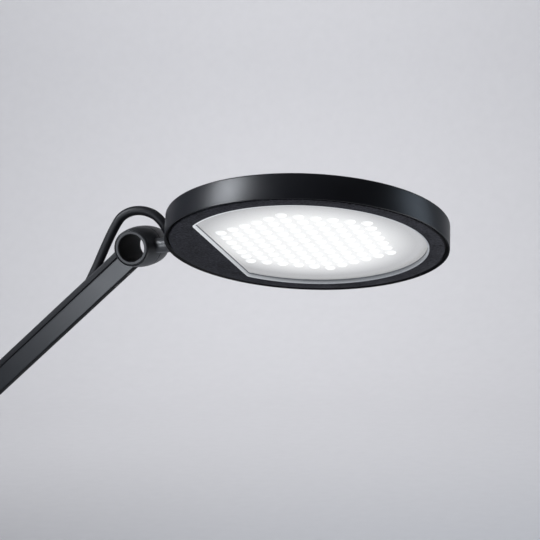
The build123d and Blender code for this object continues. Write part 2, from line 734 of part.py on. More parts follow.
def duct_cover(name, arm, length, bends):
    """Strip over the channel, with a slot where the flex comes out at each bend."""
    base = ARM_HEIGHT / 2
    top = base + DUCT_HEIGHT
    leg_side = CHANNEL_WIDTH / 2 - SEAT_FIT
    with BuildPart() as cover:
        with BuildSketch(cross_section(arm, DUCT_END)) as outline:
            with Locations((0, (base + top) / 2)):
                Rectangle(DUCT_WIDTH, DUCT_HEIGHT)
            fillet(outline.vertices().group_by(Axis.Y)[-1], DUCT_WALL)
            with Locations((0, base - DUCT_LEG_DEPTH / 2)):
                Rectangle(2 * leg_side, DUCT_LEG_DEPTH)
            with Locations((0, (base - DUCT_LEG_DEPTH + top - DUCT_WALL) / 2)):
                Rectangle(
                    2 * (leg_side - DUCT_LEG), DUCT_LEG_DEPTH + DUCT_HEIGHT - DUCT_WALL, mode=Mode.SUBTRACT
                )
        extrude(amount=length - 2 * DUCT_END)
        with BuildSketch(arm):
            for bend, towards_end in bends:
                middle = bend + towards_end * (SLOT_OUTER - SLOT_INNER) / 2
                with Locations((middle, top)):
                    Rectangle(SLOT_INNER + SLOT_OUTER, 2 * (DUCT_HEIGHT + DUCT_LEG_DEPTH))
        extrude(amount=CHANNEL_WIDTH / 2, both=True, mode=Mode.SUBTRACT)
    save(cover, name)


# ---- Flex: a round sheathed cable, straight in the ducts and looped at the hinges

# First bends, from the hinge axis along the arm
SHOULDER_BEND = 55.0
ELBOW_BEND = 54.1
HEAD_BEND = 63.0


def bend_radii(points):
    """As large as each corner's two runs allow."""
    radii = []
    for before, corner, after in zip(points, points[1:], points[2:]):
        turn = radians((corner - before).get_angle(after - corner))
        shorter = min((corner - before).length, (after - corner).length)
        radii.append(0.45 * shorter / tan(turn / 2))
    return radii


def flex(name, points):
    """Tube along straight runs and tangent arcs."""
    radii = bend_radii(points)
    with BuildPart() as tube:
        with BuildLine() as route:
            if radii:
                FilletPolyline(*points, radius=radii)
            else:
                Line(*points)
        path = route.wire()
        with BuildSketch(Plane(path @ 0, z_dir=path % 0)):
            Circle(FLEX_R)
        sweep(path=path)
    rounded = ", ".join(f"{radius:.1f}" for radius in radii)
    expected = pi * FLEX_R**2 * path.length
    print(f"{name}: length {path.length:.1f}, volume / (section x length) "
          f"{tube.part.volume / expected:.4f}, radii [{rounded}]")
    save(tube, name)


def in_channel(arm, along):
    return arm.from_local_coords(Vector(along, FLEX_RISE, 0))


def around(centre, radius, angle, side):
    """Point of a loop round a hinge."""
    return centre + heading(angle) * radius + Y * side


def shoulder_flex():
    flex("shoulder_flex", [
        in_channel(LOWER_ARM, SHOULDER_BEND + FLEX_LEAVES),
        in_channel(LOWER_ARM, SHOULDER_BEND),
        *[around(SHOULDER, radius, angle, -ARM_OFFSET) for radius, angle in SHOULDER_LOOP],
        Vector(OUTLET_X, MID_Y - ARM_OFFSET, FLEX_RISER),
        Vector(OUTLET_X, MID_Y - ARM_OFFSET, FLEX_FOOT),
    ])


def elbow_flex():
    crossing = (-0.96, -0.38, 0.38, 0.96)       # from the lower arm's side to the upper arm's
    flex("elbow_flex", [
        in_channel(LOWER_ARM, LOWER_ARM_LENGTH - ELBOW_BEND - FLEX_LEAVES),
        in_channel(LOWER_ARM, LOWER_ARM_LENGTH - ELBOW_BEND),
        *[around(ELBOW, ELBOW_LOOP_R, angle, side * ARM_OFFSET) for angle, side in zip(ELBOW_LOOP, crossing)],
        in_channel(UPPER_ARM, ELBOW_BEND),
        in_channel(UPPER_ARM, ELBOW_BEND + FLEX_LEAVES),
    ])


def gland_plane():
    """On the rim's outer face, local z pointing out of the head."""
    out = Vector(-sqrt(HEAD_R**2 - GLAND_SIDE**2), GLAND_SIDE, 0) / HEAD_R
    origin = HEAD.from_local_coords(out * HEAD_R + Z * GLAND_HEIGHT)
    outward = HEAD.from_local_coords(out) - HEAD.origin
    return Plane(origin, x_dir=HEAD.z_dir, z_dir=outward)


def head_entry():
    """Where the flex crosses the rim's outer face, and its direction into the head."""
    inward = Vector(cos(radians(GLAND_ANGLE)), 0, -sin(radians(GLAND_ANGLE)))
    return gland_plane().origin, HEAD.from_local_coords(inward) - HEAD.origin


def head_loop():
    """Points of the loop over the tilt hinge, in two runs that meet at its top."""
    entry, inward = head_entry()
    first, before_top, after_top, last = [around(HEAD_JOINT, *point, ARM_OFFSET) for point in TILT_LOOP]
    top = (before_top + after_top) / 2
    arm_side = [
        in_channel(UPPER_ARM, UPPER_ARM_LENGTH - HEAD_BEND - FLEX_LEAVES),
        in_channel(UPPER_ARM, UPPER_ARM_LENGTH - HEAD_BEND),
        first,
        before_top,
        top,
    ]
    head_side = [
        top,
        after_top,
        last,
        entry - inward * FLEX_BEFORE_HEAD,
        entry + inward * FLEX_INSIDE_HEAD,
    ]
    return arm_side, head_side


def arm_flex(name, arm, start, end):
    flex(name, [in_channel(arm, start), in_channel(arm, end)])


def base_lead():
    """Thin lead from the inlet round the hub to the board, along the weight's trough."""
    height = POCKET_FLOOR + LEAD_R
    points = [
        Vector(-INLET_BACK + INLET_LENGTH, 0, height),
        Vector(-WELL_R, 0, height),
        Vector(-HUB_R, HUB_R + LEAD_CLEARANCE, height),
        Vector(HUB_R, HUB_R + LEAD_CLEARANCE, height),
        Vector(WELL_R, 0, height),
        Vector(BUTTON_X - BOARD_LENGTH / 2, 0, height),
    ]
    with BuildPart() as lead:
        with BuildLine() as route:
            FilletPolyline(*points, radius=HUB_R)
        path = route.wire()
        with BuildSketch(Plane(path @ 0, z_dir=path % 0)):
            Circle(LEAD_R)
        sweep(path=path)
    save(lead, "base_lead")


# ---- Head knuckle

def head_knuckle():
    axis_start = HEAD_JOINT - Y * NECK_OFFSET
    bush_face = NECK_REACH - HEAD_R - ROLL_BUSH_FLANGE - STACK_GAP
    neck_end = bush_face - BODY_GAP
    pin_end = NECK_REACH - PIN_END
    groove_r = PIN_R - CIRCLIP_DEPTH
    groove_start = NECK_REACH - ROLL_BOSS_END + BODY_GAP
    groove_end = groove_start + CIRCLIP_THICKNESS + 2 * STACK_GAP
    with BuildPart() as knuckle:
        with BuildSketch(Plane(axis_start, x_dir=NECK_DIR, z_dir=Y)):
            with BuildLine():
                Polyline(
                    (0, 0),
                    (0, NECK_R),
                    (neck_end, NECK_R),
                    (neck_end, PIN_R),
                    (groove_start, PIN_R),
                    (groove_start, groove_r),
                    (groove_end, groove_r),
                    (groove_end, PIN_R),
                    (pin_end, PIN_R),
                    (pin_end, 0),
                    close=True,
                )
            make_face()
        revolve(axis=Axis(axis_start, NECK_DIR))
        revolve(barrel_outline(HEAD_JOINT, NEAR), axis=barrel_axis(HEAD_JOINT))
        revolve(turning_bore(HEAD_JOINT, NEAR), axis=barrel_axis(HEAD_JOINT), mode=Mode.SUBTRACT)
    save(knuckle, "head_knuckle")


def along_neck(from_centre):
    """Plane across the neck at a distance from the head's centre, local z towards the head."""
    return Plane(HEAD.from_local_coords((-from_centre, 0, 0)), x_dir=HEAD.y_dir, z_dir=HEAD.x_dir)


def roll_circlip():
    with BuildPart() as circlip:
        with BuildSketch(along_neck(ROLL_BOSS_END - BODY_GAP - STACK_GAP)):
            Circle(PIN_R + CIRCLIP_WIDTH)
            Circle(PIN_R - CIRCLIP_DEPTH + RUN_FIT, mode=Mode.SUBTRACT)
            with Locations((PIN_R + CIRCLIP_WIDTH, 0)):
                Rectangle(2 * CIRCLIP_WIDTH, PIN_R, mode=Mode.SUBTRACT)
        extrude(amount=CIRCLIP_THICKNESS)
    save(circlip, "roll_circlip")


# ---- Head

def cut_circle(radius, chord):
    """Circle with a straight edge on the neck's side."""
    Circle(radius)
    with Locations((chord - radius, 0)):
        Rectangle(2 * radius, 2 * radius, mode=Mode.SUBTRACT)


def led_places():
    """Staggered grid, centred on the head, rows parallel to the straight edge."""
    places = []
    for row in range(-(LED_ROWS // 2), LED_ROWS // 2 + 1):
        count = LED_LONGEST_ROW - abs(row)
        places += [(row * LED_ROW_PITCH, (k - (count - 1) / 2) * LED_PITCH) for k in range(count)]
    return places


def screw_places():
    return [
        (HEAD_SCREW_CIRCLE_R * cos(radians(angle)), HEAD_SCREW_CIRCLE_R * sin(radians(angle)))
        for angle in HEAD_SCREW_ANGLES
    ]


def head_housing():
    boss_floor = BEZEL_SEAT + SEAT_FIT
    rim_overlap = HEAD_WALL / 2
    boss_length = HEAD_CAVITY_R + rim_overlap - ROLL_BOSS_END
    boss_height = HEAD_CAVITY_TOP - boss_floor
    screw_depth = HEAD_WALL * 0.6
    with BuildPart() as housing:
        with BuildSketch(HEAD.offset(-HEAD_HALF)):
            Circle(HEAD_R)
        extrude(amount=2 * HEAD_HALF)
        rims = housing.edges().filter_by(GeomType.CIRCLE).sort_by(Axis(HEAD.origin, HEAD.z_dir))
        fillet(rims[-1], HEAD_TOP_EDGE_R)
        fillet(rims[0], HEAD_LIP_R)
        with BuildSketch(HEAD.offset(-HEAD_HALF)):
            Circle(HEAD_CAVITY_R)
        extrude(amount=HEAD_HALF + HEAD_CAVITY_TOP, mode=Mode.SUBTRACT)
        with BuildSketch(HEAD.offset(boss_floor)):
            with Locations((-ROLL_BOSS_END - boss_length / 2, 0)):
                Rectangle(boss_length, 2 * ROLL_BOSS_HALF)
        extrude(amount=boss_height)
        with BuildSketch(along_neck(HEAD_R)):
            Circle(ROLL_BUSH_R + STACK_GAP)
        extrude(amount=HEAD_R - ROLL_BOSS_END, mode=Mode.SUBTRACT)
        with BuildSketch(gland_plane()):
            Circle(GLAND_R + STACK_GAP)
        extrude(amount=-2 * HEAD_WALL, mode=Mode.SUBTRACT)
        with BuildSketch(HEAD.offset(HEAD_CAVITY_TOP)):
            with Locations(screw_places()):
                Circle(M3_R + STACK_GAP)
        extrude(amount=screw_depth, mode=Mode.SUBTRACT)
    save(housing, "head_housing")


def head_bezel():
    skirt_r = BEZEL_R - HEAD_WALL
    notch_length = 2 * (BEZEL_R - ROLL_BOSS_END)
    notch_width = 2 * (GLAND_SIDE + GLAND_R)
    with BuildPart() as bezel:
        with BuildSketch(HEAD.offset(BEZEL_FACE)):
            Circle(BEZEL_R)
        extrude(amount=BEZEL_SEAT - BEZEL_FACE)
        with BuildSketch(HEAD.offset(BEZEL_SEAT)):
            Circle(HEAD_CAVITY_R - SEAT_FIT)
            Circle(skirt_r, mode=Mode.SUBTRACT)
        extrude(amount=BEZEL_RING_TOP - BEZEL_SEAT)
        with BuildSketch(HEAD.offset(BEZEL_RING_TOP)):
            Circle(BEZEL_R)
            Circle(skirt_r, mode=Mode.SUBTRACT)
        extrude(amount=HEAD_CAVITY_TOP - BEZEL_RING_TOP - STACK_GAP)
        with BuildSketch(HEAD.offset(BEZEL_SEAT)):
            with Locations((-HEAD_CAVITY_R, 0)):
                Rectangle(notch_length, notch_width)
        extrude(amount=HEAD_CAVITY_TOP - BEZEL_SEAT, mode=Mode.SUBTRACT)
        with BuildSketch(HEAD.offset(BEZEL_FACE)) as opening:
            cut_circle(LIGHT_R, LIGHT_CHORD)
            fillet(opening.vertices(), LIGHT_CORNER_R)
        extrude(amount=BEZEL_SEAT - BEZEL_FACE, mode=Mode.SUBTRACT)
    save(bezel, "head_bezel")


def lens():
    with BuildPart() as glass:
        with BuildSketch(HEAD.offset(LENS_FACE)) as face:
            cut_circle(LIGHT_R - SEAT_FIT, LIGHT_CHORD + SEAT_FIT)
            fillet(face.vertices(), LIGHT_CORNER_R)
        extrude(amount=BEZEL_SEAT + STACK_GAP - LENS_FACE)
        with BuildSketch(HEAD.offset(BEZEL_SEAT + STACK_GAP)):
            cut_circle(STACK_R, STACK_CHORD)
        extrude(amount=LENS_TOP - BEZEL_SEAT - STACK_GAP)
    save(glass, "lens")


def lens_clips():
    """Small lugs between lens and optic, against the optic's rim."""
    angles = [*CLIP_ANGLES, *[-angle for angle in CLIP_ANGLES]]
    with BuildPart() as clips:
        with BuildSketch(HEAD.offset(LENS_TOP + STACK_GAP)):
            for angle in angles:
                with Locations(Rotation(0, 0, angle)):
                    with Locations((LIGHT_R, 0)):
                        Rectangle(2 * CLIP_DEPTH, CLIP_LENGTH)
            Circle(STACK_R - OPTIC_RIM - STACK_GAP, mode=Mode.INTERSECT)
        extrude(amount=OPTIC_FACE - LENS_TOP - 2 * STACK_GAP)
    save(clips, "lens_clips")


def led_optic():
    with BuildPart() as optic:
        with BuildSketch(HEAD.offset(OPTIC_FACE)):
            cut_circle(STACK_R, STACK_CHORD)
        extrude(amount=OPTIC_TOP - OPTIC_FACE)
        with BuildSketch(HEAD.offset(LENS_TOP + STACK_GAP)):
            cut_circle(STACK_R, STACK_CHORD)
            with BuildSketch(mode=Mode.SUBTRACT):
                cut_circle(STACK_R - OPTIC_RIM, STACK_CHORD + OPTIC_RIM)
        extrude(amount=-LENS_TOP - 2 * STACK_GAP)
        with BuildSketch(HEAD.offset(OPTIC_FACE)):
            with Locations(led_places()):
                Circle(DOME_R)
        extrude(amount=-DOME_HEIGHT, taper=20)
    save(optic, "led_optic")


def led_chips():
    with BuildPart() as chips:
        with BuildSketch(HEAD.offset(-CHIP_HEIGHT)):
            with Locations(led_places()):
                Rectangle(CHIP, CHIP)
        extrude(amount=CHIP_HEIGHT)
    save(chips, "led_chips")


def led_board():
    with BuildPart() as board:
        with BuildSketch(HEAD):
            cut_circle(STACK_R, STACK_CHORD)
            with Locations(screw_places()):
                Circle(M3_R + SEAT_FIT, mode=Mode.SUBTRACT)
        extrude(amount=BOARD)
    save(board, "led_board")


def heat_spreader():
    rib_height = HEAD_CAVITY_TOP - BOARD - SPREADER - STACK_GAP
    with BuildPart() as spreader:
        with BuildSketch(HEAD.offset(BOARD)):
            cut_circle(STACK_R, STACK_CHORD)
        extrude(amount=SPREADER)
        with BuildSketch(HEAD.offset(BOARD + SPREADER)):
            cut_circle(STACK_R, STACK_CHORD)
            with BuildSketch(mode=Mode.SUBTRACT):
                cut_circle(STACK_R - RIB_WIDTH, STACK_CHORD + RIB_WIDTH)
            for radius in RIB_RADII:
                Circle(radius)
                Circle(radius - RIB_WIDTH, mode=Mode.SUBTRACT)
            with Locations(screw_places()):
                Circle(M3_HEAD_R + RIB_WIDTH / 2)
        extrude(amount=rib_height)
        with BuildSketch(HEAD.offset(BOARD)):
            with Locations(screw_places()):
                Circle(M3_R + SEAT_FIT)
        extrude(amount=HEAD_CAVITY_TOP - BOARD, mode=Mode.SUBTRACT)
    save(spreader, "heat_spreader")


def head_screws():
    """Screws that hold board and spreader to the housing."""
    tip = HEAD_CAVITY_TOP + HEAD_WALL / 2
    with BuildPart() as screws:
        with BuildSketch(HEAD):
            with Locations(screw_places()):
                Circle(M3_R)
        extrude(amount=tip)
        with BuildSketch(HEAD):
            with Locations(screw_places()):
                Circle(M3_HEAD_R)
        extrude(amount=-M3_HEAD)
    save(screws, "head_screws")


def roll_bush():
    with BuildPart() as bush:
        with BuildSketch(along_neck(HEAD_R + ROLL_BUSH_FLANGE + STACK_GAP)):
            Circle(NECK_R)
            Circle(PIN_R + RUN_FIT, mode=Mode.SUBTRACT)
        extrude(amount=ROLL_BUSH_FLANGE)
        with BuildSketch(along_neck(HEAD_R + STACK_GAP)):
            Circle(ROLL_BUSH_R)
            Circle(PIN_R + RUN_FIT, mode=Mode.SUBTRACT)
        extrude(amount=HEAD_R + STACK_GAP - ROLL_BOSS_END)
    save(bush, "roll_bush")


def head_gland():
    entry, inward = head_entry()
    rim = gland_plane()
    with BuildPart() as gland:
        with BuildSketch(rim.offset(-GLAND_DEPTH)):
            Circle(GLAND_R)
        extrude(amount=GLAND_DEPTH + STACK_GAP)
        with BuildSketch(rim.offset(STACK_GAP)):
            Circle(GLAND_LIP_R)
        extrude(amount=GLAND_LIP)
        with BuildSketch(Plane(entry - inward * FLEX_BEFORE_HEAD, z_dir=inward)):
            Circle(FLEX_R + SEAT_FIT)
        extrude(amount=FLEX_BEFORE_HEAD + FLEX_INSIDE_HEAD, mode=Mode.SUBTRACT)
    save(gland, "head_gland")


# ---- Build

def build_base():
    foot_pad()
    base_weight()
    base_cover()
    base_screws()
    swivel_bush()
    dimmer_button()
    button_spring()
    button_switch()
    control_board()
    power_inlet()
    base_lead()


def build_column():
    column_knuckle()
    swivel_washer()
    swivel_circlip()
    swivel_cap()
    cap_grommet()
    shoulder_flex()


def build_lower_arm():
    length = LOWER_ARM_LENGTH
    arm_knuckle("shoulder_knuckle", SHOULDER, NEAR, LOWER_ARM, 0, fixed_bore)
    hinge_hardware("shoulder", SHOULDER, NEAR)
    arm_profile("lower_arm_profile", LOWER_ARM, length)
    arm_screws("lower_arm_screws", LOWER_ARM, length)
    duct_cover("lower_arm_cover", LOWER_ARM, length, [(SHOULDER_BEND, -1), (length - ELBOW_BEND, 1)])
    arm_flex(
        "lower_arm_flex", LOWER_ARM, SHOULDER_BEND + FLEX_LEAVES, length - ELBOW_BEND - FLEX_LEAVES
    )
    arm_knuckle("elbow_lower_knuckle", ELBOW, NEAR, LOWER_ARM, length, turning_bore)


def build_upper_arm():
    length = UPPER_ARM_LENGTH
    arm_knuckle("elbow_upper_knuckle", ELBOW, FAR, UPPER_ARM, 0, fixed_bore)
    hinge_hardware("elbow", ELBOW, FAR)
    elbow_flex()
    arm_profile("upper_arm_profile", UPPER_ARM, length)
    arm_screws("upper_arm_screws", UPPER_ARM, length)
    duct_cover("upper_arm_cover", UPPER_ARM, length, [(ELBOW_BEND, -1), (length - HEAD_BEND, 1)])
    arm_flex("upper_arm_flex", UPPER_ARM, ELBOW_BEND + FLEX_LEAVES, length - HEAD_BEND - FLEX_LEAVES)
    arm_knuckle("head_arm_knuckle", HEAD_JOINT, FAR, UPPER_ARM, length, fixed_bore)
    hinge_hardware("tilt", HEAD_JOINT, FAR)


def build_head():
    arm_side, head_side = head_loop()
    flex("head_flex_arm_side", arm_side)
    flex("head_flex_head_side", head_side)
    head_knuckle()
    roll_circlip()
    head_housing()
    head_bezel()
    lens()
    lens_clips()
    led_optic()
    led_chips()
    led_board()
    heat_spreader()
    head_screws()
    roll_bush()
    head_gland()


build_base()
build_column()
build_lower_arm()
build_upper_arm()
build_head()
print("shoulder", SHOULDER, "elbow", ELBOW, "head joint", HEAD_JOINT)
print("head centre", HEAD.origin, "x", HEAD.x_dir, "y", HEAD.y_dir, "z", HEAD.z_dir)
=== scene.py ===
# %% [markdown]
# # A piano lamp with two swing arms and a round light head
# The lamp's solids come from a CAD model. This script dresses them: it makes the visible pieces
# again with smooth, bevelled surfaces, and gives each one a finish made of shader nodes.
# Loading the frame first means that every new piece can sit exactly where the CAD piece sits.

# %% Load the frame
import json
from math import cos, degrees, hypot, pi, radians, sin, sqrt

import bmesh
import bpy
from mathutils import Matrix, Vector


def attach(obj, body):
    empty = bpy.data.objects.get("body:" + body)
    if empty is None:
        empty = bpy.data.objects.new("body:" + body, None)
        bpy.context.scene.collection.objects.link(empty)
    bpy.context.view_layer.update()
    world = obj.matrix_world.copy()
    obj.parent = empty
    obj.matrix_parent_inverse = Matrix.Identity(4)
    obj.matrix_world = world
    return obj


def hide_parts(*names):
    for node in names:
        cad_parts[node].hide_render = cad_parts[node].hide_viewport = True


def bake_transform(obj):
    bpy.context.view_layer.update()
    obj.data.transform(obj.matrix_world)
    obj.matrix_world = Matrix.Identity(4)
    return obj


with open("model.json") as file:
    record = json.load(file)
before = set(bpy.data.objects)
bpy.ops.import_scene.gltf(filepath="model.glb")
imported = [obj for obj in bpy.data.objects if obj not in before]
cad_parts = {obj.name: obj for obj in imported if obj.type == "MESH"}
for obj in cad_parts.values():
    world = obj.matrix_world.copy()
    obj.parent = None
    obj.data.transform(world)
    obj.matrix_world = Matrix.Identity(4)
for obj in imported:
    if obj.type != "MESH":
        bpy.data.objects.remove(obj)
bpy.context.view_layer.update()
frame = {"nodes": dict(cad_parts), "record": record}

# %% [markdown]
# ## The camera
# A long lens from a little over a metre shows the head with hardly any distortion. The camera is
# turned round the lamp, lifted a little and rolled a little, in that order, so its rotation is a
# product of three plain turns.

# %% Camera
CAMERA_PLACE = (0.6545, -1.0920, 0.6471)                       # metres
CAMERA_TURN, CAMERA_LIFT, CAMERA_ROLL = 18.35, 4.47, -1.49     # degrees
SENSOR_WIDTH, FOCAL_LENGTH = 36.0, 107.4                       # millimetres

camera = bpy.data.objects.new("camera", bpy.data.cameras.new("camera"))
camera.data.sensor_width = SENSOR_WIDTH
camera.data.lens = FOCAL_LENGTH
camera.matrix_world = (
    Matrix.Translation(CAMERA_PLACE)
    @ Matrix.Rotation(radians(CAMERA_TURN), 4, "Z")
    @ Matrix.Rotation(radians(90 - CAMERA_LIFT), 4, "X")
    @ Matrix.Rotation(radians(CAMERA_ROLL), 4, "Z")
)
bpy.context.scene.collection.objects.link(camera)
bpy.context.scene.camera = camera
bpy.context.scene.view_settings.view_transform = "Standard"
print("camera at", tuple(round(v, 3) for v in camera.location))

# %% [markdown]
# ## Shader maths
# A finish is easier to read as sums than as a web of nodes. `Wire` wraps one output of a node, so
# that `a * 2 + b` adds the Math nodes, and `Finish` holds a material and makes any other node.

# %% Wires and finishes
class Wire:
    """One number that varies over a surface."""

    def __init__(self, finish, socket):
        self.finish, self.socket = finish, socket

    def maths(self, operation, other):
        return self.finish.node("Math", {"operation": operation}, {0: self, 1: other})

    def __add__(self, other):
        return self.maths("ADD", other)

    def __sub__(self, other):
        return self.maths("SUBTRACT", other)

    def __mul__(self, other):
        return self.maths("MULTIPLY", other)


class Finish:
    """A material round one Principled shader."""

    def __init__(self, name, **constants):
        self.material = bpy.data.materials.new(name)
        self.material.use_nodes = True
        self.tree = self.material.node_tree
        self.shader = self.tree.nodes["Principled BSDF"]
        for socket, value in constants.items():
            self.shader.inputs[socket.replace("_", " ")].default_value = value
        self.place = self.node("TexCoord", {}, {}, output="Object")

    def node(self, kind, settings, sockets, output=0):
        node = self.tree.nodes.new("ShaderNode" + kind)
        for name, value in settings.items():
            setattr(node, name, value)
        for key, value in sockets.items():
            self.join(value, node.inputs[key])
        return Wire(self, node.outputs[output])

    def join(self, value, socket):
        if isinstance(value, Wire):
            self.tree.links.new(value.socket, socket)
        else:
            socket.default_value = value

    def noise(self, scale, detail, roughness=0.5):
        """Values round a half, in blotches of about 1/scale metres."""
        sockets = {"Vector": self.place, "Scale": scale, "Detail": detail, "Roughness": roughness}
        return self.node("TexNoise", {}, sockets)

    def colour(self, mask, low, high):
        """Blend of two colours, each three numbers or a wire."""
        low, high = [end if isinstance(end, Wire) else (*end, 1) for end in (low, high)]
        sockets = {"Factor": mask, 6: low, 7: high}
        return self.node("Mix", {"data_type": "RGBA"}, sockets, output=2)

    def feed(self, **wires):
        for socket, wire in wires.items():
            self.join(wire, self.shader.inputs[socket.replace("_", " ")])

    def bump(self, height, depth):
        """Relief, depth in millimetres."""
        sockets = {"Height": height, "Distance": depth / 1000, "Strength": 1.0}
        relief = self.node("Bump", {}, sockets)
        self.join(relief, self.shader.inputs["Normal"])


def scaled(shade, factor):
    return [channel * factor for channel in shade]


print("shader helpers ready")

# %% [markdown]
# ## Coated metal
# The lamp is powder coated: a thin baked skin that is dull black, a little pebbled like fine
# orange peel, and satin in the light. Noise gives the pebbles as bump, and a slower noise moves
# the shade and the roughness so that highlights aren't perfectly even. A noise is a half on
# average, so half of what it adds to the roughness is taken off again.

# %% Coated metal
ORANGE_PEEL, BLOTCHES = 1400, 35         # pebbles and blotches in a metre
COAT_SPREAD = 0.18                       # share by which the shade wanders either way


def coated(name, shade, roughness, pebble=0.012, specular=0.5):
    finish = Finish(name, Specular_IOR_Level=specular)
    slow, fine = finish.noise(BLOTCHES, 3), finish.noise(ORANGE_PEEL, 2, 0.6)
    dark, light = scaled(shade, 1 - COAT_SPREAD), scaled(shade, 1 + COAT_SPREAD)
    finish.feed(
        Base_Color=finish.colour(slow, dark, light),
        Roughness=slow * 0.08 + fine * 0.04 + (roughness - 0.06),
    )
    finish.bump(fine, pebble)
    return finish.material


SATIN_BLACK = coated("satin_black", (0.0042, 0.0044, 0.0057), 0.35, specular=0.175)
ARM_BLACK = coated("arm_black", (0.0058, 0.0064, 0.0080), 0.36, specular=0.30)
HINGE_BLACK = coated("hinge_black", (0.0062, 0.0065, 0.0078), 0.40, 0.010, specular=0.25)
PIN_BLACK = coated("pin_black", (0.0110, 0.0115, 0.0139), 0.40, 0.004, specular=0.70)
BASE_BLACK = coated("base_black", (0.0083, 0.0086, 0.0100), 0.42, 0.016, specular=0.42)
COATS = (SATIN_BLACK, ARM_BLACK, HINGE_BLACK, PIN_BLACK, BASE_BLACK)
print("coated metals:", *[coat.name for coat in COATS])

# %% [markdown]
# ## Moulded plastic and rubber
# The bezel is spark-eroded plastic: matt, with a fine sandy grain that catches the light in
# specks. The duct covers are smoother, and rubber is darker, softer and rougher still. One
# function serves them all, because only the grain's size and depth change.

# %% Plastics and rubber
def moulded(name, shade, roughness, grain, depth, specular=0.5, contrast=0.35):
    finish = Finish(name, Specular_IOR_Level=specular)
    fine, slow = finish.noise(grain, 1, 0.7), finish.noise(60, 3)
    specks = fine * 1.6 + slow * 0.6 - 0.6
    dark, light = scaled(shade, 1 - contrast), scaled(shade, 1 + contrast)
    finish.feed(
        Base_Color=finish.colour(specks, dark, light),
        Roughness=fine * 0.1 + (roughness - 0.05),
    )
    finish.bump(fine, depth)
    return finish.material


BEZEL_GRAIN = moulded("bezel_grain", (0.0150, 0.0150, 0.0180), 0.60, 640, 0.35, 0.03, contrast=1.0)
DUCT_BLACK = moulded("duct_black", (0.0050, 0.0051, 0.0065), 0.46, 2400, 0.010, 0.15)
FLEX_SHEATH = moulded("flex_sheath", (0.0047, 0.0048, 0.0060), 0.48, 2600, 0.008, 0.16)
RUBBER = moulded("rubber", (0.008, 0.008, 0.009), 0.75, 1800, 0.03, 0.2)
# Dull black for the arm strips and duct stops, and painted shade in bores, grooves, gaps and lips.
DULL_BLACK_AND_SHADE = moulded("bore_black", (0.0035, 0.0035, 0.0042), 0.65, 2000, 0.01, 0.07)
NYLON = moulded("nylon", (0.05, 0.05, 0.055), 0.5, 2200, 0.01)
print("plastics:", BEZEL_GRAIN.name, DUCT_BLACK.name, FLEX_SHEATH.name, RUBBER.name, NYLON.name)

# %% [markdown]
# ## Bare metal
# Turned steel shows fine rings or lines from the tool. A noise that is squeezed along one axis
# makes such lines, and they go into roughness as well as bump. Cast iron has lumps instead.

# %% Bare metals
TOOL_LINES, LINE_SQUEEZE = 900, 12


def turned(name, shade, roughness):
    finish = Finish(name, Metallic=1.0)
    squeeze = {"Vector": finish.place, "Scale": (1, LINE_SQUEEZE, 1)}
    stretched = finish.node("Mapping", {}, squeeze)
    lines = {"Vector": stretched, "Scale": TOOL_LINES, "Detail": 2.0}
    brushed = finish.node("TexNoise", {}, lines)
    finish.feed(
        Base_Color=finish.colour(brushed, scaled(shade, 0.85), scaled(shade, 1.12)),
        Roughness=brushed * 0.18 + (roughness - 0.09),
    )
    finish.bump(brushed, 0.004)
    return finish.material


BLACK_STEEL = turned("black_steel", (0.042, 0.043, 0.050), 0.30)
STEEL = turned("steel", (0.55, 0.55, 0.57), 0.32)
SPREADER = turned("spreader_aluminium", (0.75, 0.76, 0.78), 0.35)
BRONZE = turned("bronze", (0.60, 0.42, 0.20), 0.45)


def cast(name, shade):
    finish = Finish(name, Metallic=0.6)
    lumps = finish.noise(500, 5, 0.65)
    finish.feed(
        Base_Color=finish.colour(lumps, scaled(shade, 0.6), shade), Roughness=lumps * 0.3 + 0.5
    )
    finish.bump(lumps, 0.15)
    return finish.material


IRON = cast("cast_iron", (0.12, 0.12, 0.13))
print("metals:", BLACK_STEEL.name, STEEL.name, SPREADER.name, BRONZE.name, IRON.name)

# %% [markdown]
# ## Boards
# Circuit boards have a smooth solder mask over copper tracks. Drawing each track would take long
# for pieces that are hardly seen, so a brick pattern's joints stand for the tracks.

# %% Boards
TRACKS = {
    "Scale": 160.0, "Mortar Size": 0.06,
    "Color1": (0, 0, 0, 1), "Color2": (0.2, 0.2, 0.2, 1), "Mortar": (1, 1, 1, 1),
}


def masked_board(name, mask, track):
    finish = Finish(name, Roughness=0.4)
    sockets = {"Vector": finish.place, **TRACKS}
    tracks = finish.node("TexBrick", {"offset": 0.5}, sockets, output="Fac")
    finish.feed(Base_Color=finish.colour(tracks, mask, track))
    finish.bump(tracks, 0.03)
    return finish.material


GREEN_BOARD = masked_board("green_board", (0.03, 0.20, 0.09), (0.10, 0.36, 0.16))
WHITE_BOARD = masked_board("white_board", (0.85, 0.85, 0.86), (0.92, 0.92, 0.93))
print("boards:", GREEN_BOARD.name, WHITE_BOARD.name)

# %% [markdown]
# ## Where the arms and the head are
# The lower arm leans back, the upper arm reaches forward and the neck points at the head, which
# is rolled about it. Following that chain from the shoulder gives each hinge's centre, and one
# matrix for each arm and for the head, so that each piece can be drawn in simple axes of its own.
# All sizes from here on are millimetres.

# %% Places
LOWER_ARM_LENGTH, UPPER_ARM_LENGTH, NECK_REACH = 300, 350, 128
LOWER_ARM_ANGLE, UPPER_ARM_ANGLE, NECK_ANGLE, HEAD_ROLL = 104, 39.8, 3.1, 22.3
SHOULDER_HEIGHT = 60
SHAFT_OFFSET = 5.8         # column and neck, sideways from a barrel's seam
ARM_OFFSET = 4.7           # arms, sideways from a barrel's seam
X_AXIS, Y_AXIS = Vector((1, 0, 0)), Vector((0, 1, 0))


def heading(angle):
    """Direction in the XZ plane, degrees above +X."""
    return Vector((cos(radians(angle)), 0, sin(radians(angle))))


